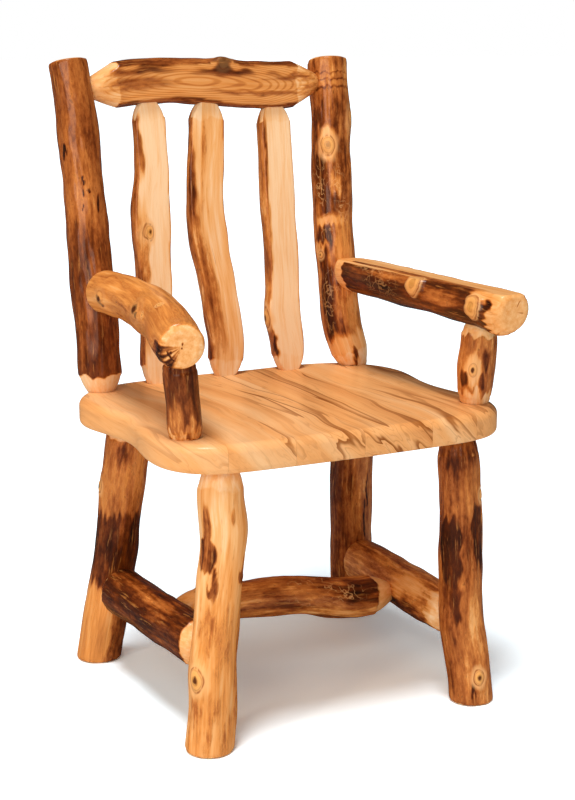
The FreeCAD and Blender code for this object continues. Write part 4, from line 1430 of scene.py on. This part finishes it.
RIGHT_SUPPORT_SHARES = ((0.00, 0.00, 0.00, 0.94), (0.15, -0.02, 0.00, 1.03), (0.35, -0.06, 0.00, 1.11),
                        (0.55, -0.04, 0.00, 1.06), (0.75, -0.02, 0.00, 1.02), (1.00, 0.00, 0.00, 0.98))
LEFT_ARM_SHARES = ((0.00, 0.06, 0.05, 1.00), (0.16, 0.13, 0.17, 1.00), (0.31, 0.24, 0.21, 0.98),
                   (0.45, 0.28, 0.20, 1.01), (0.57, 0.31, 0.16, 1.06), (0.70, 0.25, 0.16, 1.03),
                   (0.80, 0.17, 0.12, 1.01), (0.90, 0.09, 0.03, 1.03), (1.00, 0.00, 0.00, 1.00))
RIGHT_ARM_SHARES = ((0.00, 0.00, 0.06, 0.97), (0.12, 0.00, 0.13, 1.00), (0.30, 0.00, 0.13, 1.02),
                    (0.45, 0.00, 0.09, 1.01), (0.60, 0.01, 0.05, 0.98), (0.75, 0.00, 0.03, 0.96),
                    (0.88, 0.00, 0.04, 0.97), (1.00, 0.00, 0.02, 0.95))
RAIL_SHARES = ((0.00, 0.00, -0.03, 0.94), (0.13, 0.00, 0.03, 0.97), (0.25, 0.00, 0.10, 0.95),
               (0.38, 0.00, 0.12, 0.93), (0.49, 0.00, 0.09, 0.98), (0.57, 0.00, 0.06, 1.03),
               (0.66, 0.00, 0.01, 1.01), (0.78, 0.00, -0.01, 1.02), (0.88, 0.00, 0.01, 1.00),
               (1.00, 0.00, 0.03, 0.95))
LEFT_STRETCHER_SHARES = ((0.00, 0.00, 0.00, 1.00), (0.15, 0.02, 0.00, 1.02), (0.35, 0.02, -0.01, 1.02),
                         (0.55, 0.00, -0.01, 1.00), (0.75, 0.00, 0.00, 0.98), (1.00, 0.00, 0.00, 0.96))
RIGHT_STRETCHER_SHARES = ((0.00, 0.00, 0.00, 1.06), (0.15, 0.00, 0.00, 1.07), (0.35, 0.00, 0.01, 1.07),
                          (0.55, 0.00, 0.01, 1.04), (0.75, 0.02, 0.00, 1.00), (1.00, 0.03, 0.00, 0.97))
CENTRE_STRETCHER_SHARES = ((0.00, 0.00, 0.06, 0.90), (0.18, 0.00, 0.13, 0.92), (0.33, 0.00, 0.16, 0.96),
                           (0.44, 0.00, 0.16, 1.02), (0.55, 0.00, 0.11, 0.99), (0.62, 0.00, 0.03, 1.01),
                           (0.70, 0.00, -0.09, 1.09), (0.77, 0.00, -0.14, 1.11), (0.84, 0.00, -0.12, 1.07),
                           (1.00, 0.00, -0.02, 0.94))
SPINDLE_FOOT_SHARES = {"left": (-0.470, 0.854), "centre": (-0.005, 0.879), "right": (0.401, 0.854)}
SPINDLE_RAIL_SHARES = {"left": 0.254, "centre": 0.499, "right": 0.759}
SPINDLE_ROW_SHARES = {"left": LEFT_SPINDLE_SHARES, "centre": CENTRE_SPINDLE_SHARES,
                      "right": RIGHT_SPINDLE_SHARES}
SUPPORT_FOOT_SHARES = {"left": (-0.864, -0.660), "right": (0.880, -0.652)}
SUPPORT_ARM_SHARES = {"left": 0.900, "right": 0.838}
SUPPORT_ROW_SHARES = {"left": LEFT_SUPPORT_SHARES, "right": RIGHT_SUPPORT_SHARES}
BLUNT_BULGE_SHARE = 0.20
RAIL_BULGE_SHARE = 0.01


@dataclass
class Base:
    """The four legs and three stretchers.

    Attributes:
        leg_girth: Thickness of a leg.
        side_girth: Thickness of a side stretcher.
        centre_girth: Thickness of the centre stretcher.
        foot_round: Rounding of a foot's edge.
        leg_tenon: Head of a leg.
        side_tenon: End of a side stretcher.
        centre_tenon: End of the centre stretcher.
        left_joint_shares: Where the left stretcher meets the rear and front leg.
        right_joint_shares: Where the right stretcher meets them.
        centre_joint_shares: Where the centre stretcher meets the left and right one.
        legs: Centre line of each leg by its corner.
    """

    leg_girth: float = 0.068
    side_girth: float = 0.070
    centre_girth: float = 0.060
    foot_round: float = 0.005
    leg_tenon: TenonSize = TenonSize(0.030, 0.006, 0.038)
    side_tenon: TenonSize = TenonSize(0.019, 0.008, 0.032, BLUNT_BULGE_SHARE)
    centre_tenon: TenonSize = TenonSize(0.034, 0.006, 0.026)
    left_joint_shares: Pair = (0.313, 0.350)
    right_joint_shares: Pair = (0.268, 0.308)
    centre_joint_shares: Pair = (0.480, 0.537)
    legs: dict[str, Centreline] = field(default_factory=dict)

    def build(self) -> None:
        """Make all the pieces."""
        self.build_legs()
        left = self.build_side("left", self.left_joint_shares, LEFT_STRETCHER_SHARES)
        right = self.build_side("right", self.right_joint_shares, RIGHT_STRETCHER_SHARES)
        start, finish = self.centre_joint_shares
        line = Centreline(left.point(start), right.point(finish), self.centre_girth, REARWARD,
                          CENTRE_STRETCHER_SHARES)
        LogPiece("centre_stretcher", "peeled_log", line, self.centre_tenon.end(left.radius(start)),
                 self.centre_tenon.end(right.radius(finish))).build()

    def build_legs(self) -> None:
        """Make the legs, each with its own stains and knots."""
        foot = sawn(EndKind.FLOOR, self.foot_round)
        for corner, rows in LEG_ROW_SHARES.items():
            line = Centreline(place(FOOT_SHARES[corner], 0.0), place(LEG_TOP_SHARES[corner], SEAT_UNDERSIDE),
                              self.leg_girth, ACROSS, rows)
            self.legs[corner] = line
            LogPiece(corner + "_leg", "peeled_log", line, foot, self.leg_tenon.end()).build()

    def build_side(self, side: str, joint_shares: Pair, rows: Rows) -> Centreline:
        """Make a side stretcher.

        Args:
            side: Left or right.
            joint_shares: Where it meets the rear and front leg.
            rows: Shares of its centre line.

        Returns:
            Its centre line.
        """
        rear = self.legs["rear_" + side]
        front = self.legs["front_" + side]
        start, finish = joint_shares
        line = Centreline(rear.point(start), front.point(finish), self.side_girth, ACROSS, rows)
        LogPiece(side + "_side_stretcher", "peeled_log", line, self.side_tenon.end(rear.radius(start)),
                 self.side_tenon.end(front.radius(finish))).build()
        return line


@dataclass
class Back:
    """The posts, crest rail and spindles.

    Attributes:
        post_girth: Thickness of a post.
        rail_girth: Thickness of the rail.
        spindle_girth: Thickness of a spindle.
        top_round: Rounding of a post's sawn top.
        rail_flat_share: Distance of the rail's flat from its centre line, as a share of its radius.
        spindle_flat_share: The same for a spindle.
        post_tenon: Foot of a post.
        rail_tenon: End of the rail.
        spindle_tenon: End of a spindle.
        rail_joint_shares: Where the rail meets the left and right post.
        left_foot_shares: Place of the left post's foot.
        left_top_shares: Place of its top.
        right_foot_shares: Place of the right post's foot.
        right_top_shares: Place of its top.
        left_post: Centre line of the left post.
        right_post: Centre line of the right post.
    """

    post_girth: float = 0.065
    rail_girth: float = 0.075
    spindle_girth: float = 0.058
    top_round: float = 0.006
    rail_flat_share: float = 0.62
    spindle_flat_share: float = 0.37
    post_tenon: TenonSize = TenonSize(0.026, 0.006, 0.036)
    rail_tenon: TenonSize = TenonSize(0.044, 0.007, 0.028, RAIL_BULGE_SHARE)
    spindle_tenon: TenonSize = TenonSize(0.028, 0.006, 0.028)
    rail_joint_shares: Pair = (0.916, 0.920)
    left_foot_shares: Pair = (-0.836, 0.795)
    left_top_shares: Pair = (-0.838, 1.224)
    right_foot_shares: Pair = (0.820, 0.805)
    right_top_shares: Pair = (0.838, 1.224)
    left_post: Centreline = field(init=False)
    right_post: Centreline = field(init=False)

    def __post_init__(self) -> None:
        """Work out the posts."""
        top = SEAT_HEIGHT + BACK_RISE
        left = (place(self.left_foot_shares, SEAT_HEIGHT), place(self.left_top_shares, top))
        right = (place(self.right_foot_shares, SEAT_HEIGHT), place(self.right_top_shares, top))
        self.left_post = Centreline(*left, self.post_girth, ACROSS, LEFT_POST_SHARES)
        self.right_post = Centreline(*right, self.post_girth, ACROSS, RIGHT_POST_SHARES)

    def build(self) -> None:
        """Make all the pieces."""
        top = sawn(EndKind.SAWN, self.top_round)
        LogPiece("left_back_post", "peeled_log", self.left_post, self.post_tenon.end(), top).build()
        LogPiece("right_back_post", "peeled_log", self.right_post, self.post_tenon.end(), top).build()
        start, finish = self.rail_joint_shares
        rail = Centreline(self.left_post.point(start), self.right_post.point(finish), self.rail_girth,
                          REARWARD, RAIL_SHARES)
        LogPiece("crest_rail", "planed_log", rail, self.rail_tenon.end(self.left_post.radius(start)),
                 self.rail_tenon.end(self.right_post.radius(finish)), Facing.AGAINST_SIDE,
                 self.rail_flat_share * self.rail_girth / 2).build()
        self.build_spindles(rail)

    def build_spindles(self, rail: Centreline) -> None:
        """Make the three half-log spindles.

        Args:
            rail: The rail that they run up to.
        """
        for side, rows in SPINDLE_ROW_SHARES.items():
            joint = SPINDLE_RAIL_SHARES[side]
            foot = place(SPINDLE_FOOT_SHARES[side], SEAT_HEIGHT)
            line = Centreline(foot, rail.point(joint), self.spindle_girth, ACROSS, rows)
            LogPiece(side + "_spindle", "planed_log", line, self.spindle_tenon.end(),
                     self.spindle_tenon.end(rail.radius(joint)), Facing.AGAINST_RISE,
                     self.spindle_flat_share * self.spindle_girth / 2).build()


@dataclass
class Arms:
    """The two arms and their supports.

    Attributes:
        back: The back whose posts carry the arms.
        left_girth: Thickness of the left arm.
        right_girth: Thickness of the right arm.
        support_girth: Thickness of a support.
        tip_round: Rounding of an arm's sawn tip.
        right_flat_share: Distance of the right arm's flat from its centre line, as a share of its radius.
        left_rise_share: Height of the left arm's tip as a share of the right's.
        left_tenon: Rear end of the left arm.
        right_tenon: Rear end of the right arm.
        support_tenon: End of a support.
        post_joint_shares: Where the arms meet the left and right post.
        left_tip_shares: Place of the left arm's tip.
        right_tip_shares: Place of the right arm's tip.
    """

    back: Back
    left_girth: float = 0.067
    right_girth: float = 0.068
    support_girth: float = 0.050
    tip_round: float = 0.011
    right_flat_share: float = 0.80
    left_rise_share: float = 0.920
    left_tenon: TenonSize = TenonSize(0.018, 0.008, 0.032, BLUNT_BULGE_SHARE, BARK_DEPTH)
    right_tenon: TenonSize = TenonSize(0.026, 0.008, 0.032, BLUNT_BULGE_SHARE)
    support_tenon: TenonSize = TenonSize(0.016, 0.007, 0.028, BLUNT_BULGE_SHARE, BARK_DEPTH)
    post_joint_shares: Pair = (0.296, 0.304)
    left_tip_shares: Pair = (-0.946, -0.847)
    right_tip_shares: Pair = (0.903, -1.024)

    def build(self) -> None:
        """Make all the pieces."""
        tip = sawn(EndKind.SAWN, self.tip_round)
        left_post = self.back.left_post
        right_post = self.back.right_post
        left_joint, right_joint = self.post_joint_shares
        left_tip = place(self.left_tip_shares, SEAT_HEIGHT + ARM_RISE * self.left_rise_share)
        right_tip = place(self.right_tip_shares, SEAT_HEIGHT + ARM_RISE)
        left = Centreline(left_post.point(left_joint), left_tip, self.left_girth, ACROSS, LEFT_ARM_SHARES)
        right = Centreline(right_post.point(right_joint), right_tip, self.right_girth, ACROSS,
                           RIGHT_ARM_SHARES)
        left_root = self.left_tenon.end(left_post.radius(left_joint))
        right_root = self.right_tenon.end(right_post.radius(right_joint))
        flat = self.right_flat_share * self.right_girth / 2
        LogPiece("left_arm", "peeled_log", left, left_root, tip).build()
        LogPiece("right_arm", "peeled_log", right, right_root, tip, Facing.ALONG_RISE, flat).build()
        self.build_support("left", left)
        self.build_support("right", right)

    def build_support(self, side: str, arm: Centreline) -> None:
        """Make the support under an arm.

        Args:
            side: Left or right.
            arm: The arm's centre line.
        """
        joint = SUPPORT_ARM_SHARES[side]
        foot = place(SUPPORT_FOOT_SHARES[side], SEAT_HEIGHT)
        line = Centreline(foot, arm.point(joint), self.support_girth, ACROSS, SUPPORT_ROW_SHARES[side])
        LogPiece(side + "_arm_support", "peeled_log", line, self.support_tenon.end(),
                 self.support_tenon.end(arm.radius(joint))).build()


@dataclass
class Seat:
    """The seat boards: the solids themselves, with a finish for each board.

    Attributes:
        glue_line_shares: Places of the glue lines over half the seat's width.
        outside_share: A place outside the seat, for edges that have no glue line.
        warmths: Warmth of each board's ground colour.
        figures: Strength of each board's dark lines.
        seed_step: Distance between the boards' noise.
    """

    glue_line_shares: tuple[float, ...] = (-0.749, -0.384, 0.011, 0.423, 0.717)
    outside_share: float = 2.0
    warmths: tuple[float, ...] = (0.00, 0.02, 0.05, 0.07, 0.05, 0.03)
    figures: tuple[float, ...] = (0.45, 0.66, 0.82, 0.88, 0.92, 0.66)
    seed_step: float = 3.7

    def build(self) -> None:
        """Give each board its material."""
        lines = (-self.outside_share, *self.glue_line_shares, self.outside_share)
        places = [share * SEAT_WIDTH / 2 + FRAME_MOVE[0] for share in lines]
        for index, (warmth, figure) in enumerate(zip(self.warmths, self.figures)):
            name = "seat_board_%d" % (index + 1)
            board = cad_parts[name]
            edges = (places[index], places[index + 1])
            recipe = BoardFinish(name + "_wood", self.seed_step * (index + 1), edges, warmth, figure)
            board.data.materials.clear()
            board.data.materials.append(recipe.make())
            log.info("%s: finish %s", board.name, recipe.name)


@dataclass
class Studio:
    """White floor, lamps and camera.

    Attributes:
        reach: Half the floor's width.
        drop: Gap that keeps the floor clear of the feet.
        white: Colour of the floor as it lights the chair.
        seen_white: Its colour to the camera, which evens out the wood's warm glow in the shadow.
        fill: Strength of the surround as light.
        mirror_share: Share of floor and surround that the coat mirrors, so that dark wood stays dark.
        sky_spot: Place that the sky lamp shines from.
        sky_angle: Spread of the sky lamp in degrees.
        sky_energy: Its strength.
        sky_target: Where it points.
        front_spot: Place of the front lamp.
        front_target: Where it and the narrow lamp point.
        front_size: Its width and height.
        front_energy: Its power.
        strip_spot: Place of the narrow lamp.
        strip_size: Its width and height.
        strip_energy: Its power.
        glow: Warm colour of both lamps in front.
        camera_spot: Place of the camera.
        camera_drop: How far it looks down, in degrees.
        camera_turn: How far it is turned to the right, in degrees.
        lens: Focal length in millimetres.
        sensor: Sensor width in millimetres.
    """

    reach: float = 60.0
    drop: float = 0.0002
    white: Colour = (0.90, 0.945, 0.975)
    seen_white: Colour = (1.22, 1.37, 1.46)
    fill: float = 0.33
    mirror_share: float = 0.12
    sky_spot: Triple = (-0.6, -0.45, 3.0)
    sky_angle: float = 18.0
    sky_energy: float = 2.40
    sky_target: Triple = (0.0, 0.0, 0.0)
    front_spot: Triple = (-2.2, -2.4, 2.0)
    front_target: Triple = (0.0, 0.0, 0.5)
    front_size: Pair = (1.5, 1.5)
    front_energy: float = 34.0
    strip_spot: Triple = (-2.8, -1.4, 1.7)
    strip_size: Pair = (0.3, 1.6)
    strip_energy: float = 17.0
    glow: Colour = (1.0, 0.87, 0.74)
    camera_spot: Triple = (-1.1454, -2.2262, 1.0073)
    camera_drop: float = 12.6
    camera_turn: float = 27.75
    lens: float = 73.65
    sensor: float = 36.0

    def build(self) -> None:
        """Make everything that isn't the chair."""
        self.build_floor()
        self.build_world()
        self.build_lamps()
        self.build_camera()

    def build_floor(self) -> None:
        """A wide white floor that keeps the chair's shadow."""
        mesh = bpy.data.meshes.new("floor")
        signs = ((-1.0, -1.0), (1.0, -1.0), (1.0, 1.0), (-1.0, 1.0))
        corners = [(east * self.reach, north * self.reach, -self.drop) for east, north in signs]
        mesh.from_pydata(corners, [], [(0, 1, 2, 3)])
        material = bpy.data.materials.new("floor_white")
        graph = Graph(material)
        seen = graph.node("ShaderNodeLightPath", {}, {}, "Is Camera Ray")
        mirrored = seen.sibling("Is Glossy Ray")
        colour = graph.paint(self.white, (seen, self.seen_white), (mirrored, (self.mirror_share,) * 3))
        shader = graph.node("ShaderNodeBsdfDiffuse", {}, {"Color": colour})
        graph.node("ShaderNodeOutputMaterial", {}, {"Surface": shader}, None)
        mesh.materials.append(material)
        floor = bpy.data.objects.new("floor", mesh)
        bpy.context.scene.collection.objects.link(floor)

    def build_world(self) -> None:
        """A white surround: full white to the camera, softer as light."""
        world = bpy.data.worlds.new("surround")
        graph = Graph(world)
        seen = graph.node("ShaderNodeLightPath", {}, {}, "Is Camera Ray")
        mirrored = seen.sibling("Is Glossy Ray")
        strength = (seen * (1.0 - self.fill) + self.fill) * (1.0 - mirrored * (1.0 - self.mirror_share))
        inputs = {"Color": opaque((1.0, 1.0, 1.0)), "Strength": strength}
        surface = graph.node("ShaderNodeBackground", {}, inputs)
        graph.node("ShaderNodeOutputWorld", {}, {"Surface": surface}, None)
        bpy.context.scene.world = world
        bpy.context.scene.view_settings.view_transform = "Standard"

    def aim(self, light: bpy.types.Light, spot: Triple, target: Triple) -> None:
        """Put a lamp somewhere and point it at a target.

        Args:
            light: The lamp's light.
            spot: Its place.
            target: Where it points.
        """
        east, north, up = np.array(target) - np.array(spot)
        lamp = bpy.data.objects.new(light.name, light)
        lamp.location = spot
        lamp.rotation_euler = (math.atan2(math.hypot(east, north), -up), 0.0, math.atan2(-east, north))
        bpy.context.scene.collection.objects.link(lamp)

    def build_panel(self, name: str, spot: Triple, size: Pair, energy: float) -> None:
        """Make a flat warm lamp in front.

        Args:
            name: Its name.
            spot: Its place.
            size: Its width and height.
            energy: Its power.
        """
        panel = bpy.data.lights.new(name, "AREA")
        panel.shape = "RECTANGLE"
        panel.size, panel.size_y = size
        panel.energy = energy
        panel.color = self.glow
        self.aim(panel, spot, self.front_target)

    def build_lamps(self) -> None:
        """A soft sky lamp above, and in front on the left a large lamp and a narrow one for satin streaks."""
        sky = bpy.data.lights.new("sky", "SUN")
        sky.angle = math.radians(self.sky_angle)
        sky.energy = self.sky_energy
        self.aim(sky, self.sky_spot, self.sky_target)
        self.build_panel("front", self.front_spot, self.front_size, self.front_energy)
        self.build_panel("strip", self.strip_spot, self.strip_size, self.strip_energy)

    def build_camera(self) -> None:
        """A camera at the photograph's angle."""
        data = bpy.data.cameras.new("camera")
        data.lens = self.lens
        data.sensor_width = self.sensor
        camera = bpy.data.objects.new("camera", data)
        camera.location = self.camera_spot
        tilt = math.pi / 2 - math.radians(self.camera_drop)
        camera.rotation_euler = (tilt, 0.0, math.radians(-self.camera_turn))
        bpy.context.scene.collection.objects.link(camera)
        bpy.context.scene.camera = camera


def main() -> None:
    """Build the chair's looks in order, then the studio."""
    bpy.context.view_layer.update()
    Base().build()
    back = Back()
    back.build()
    Arms(back).build()
    Seat().build()
    Studio().build()


if __name__ == "__main__":
    main()
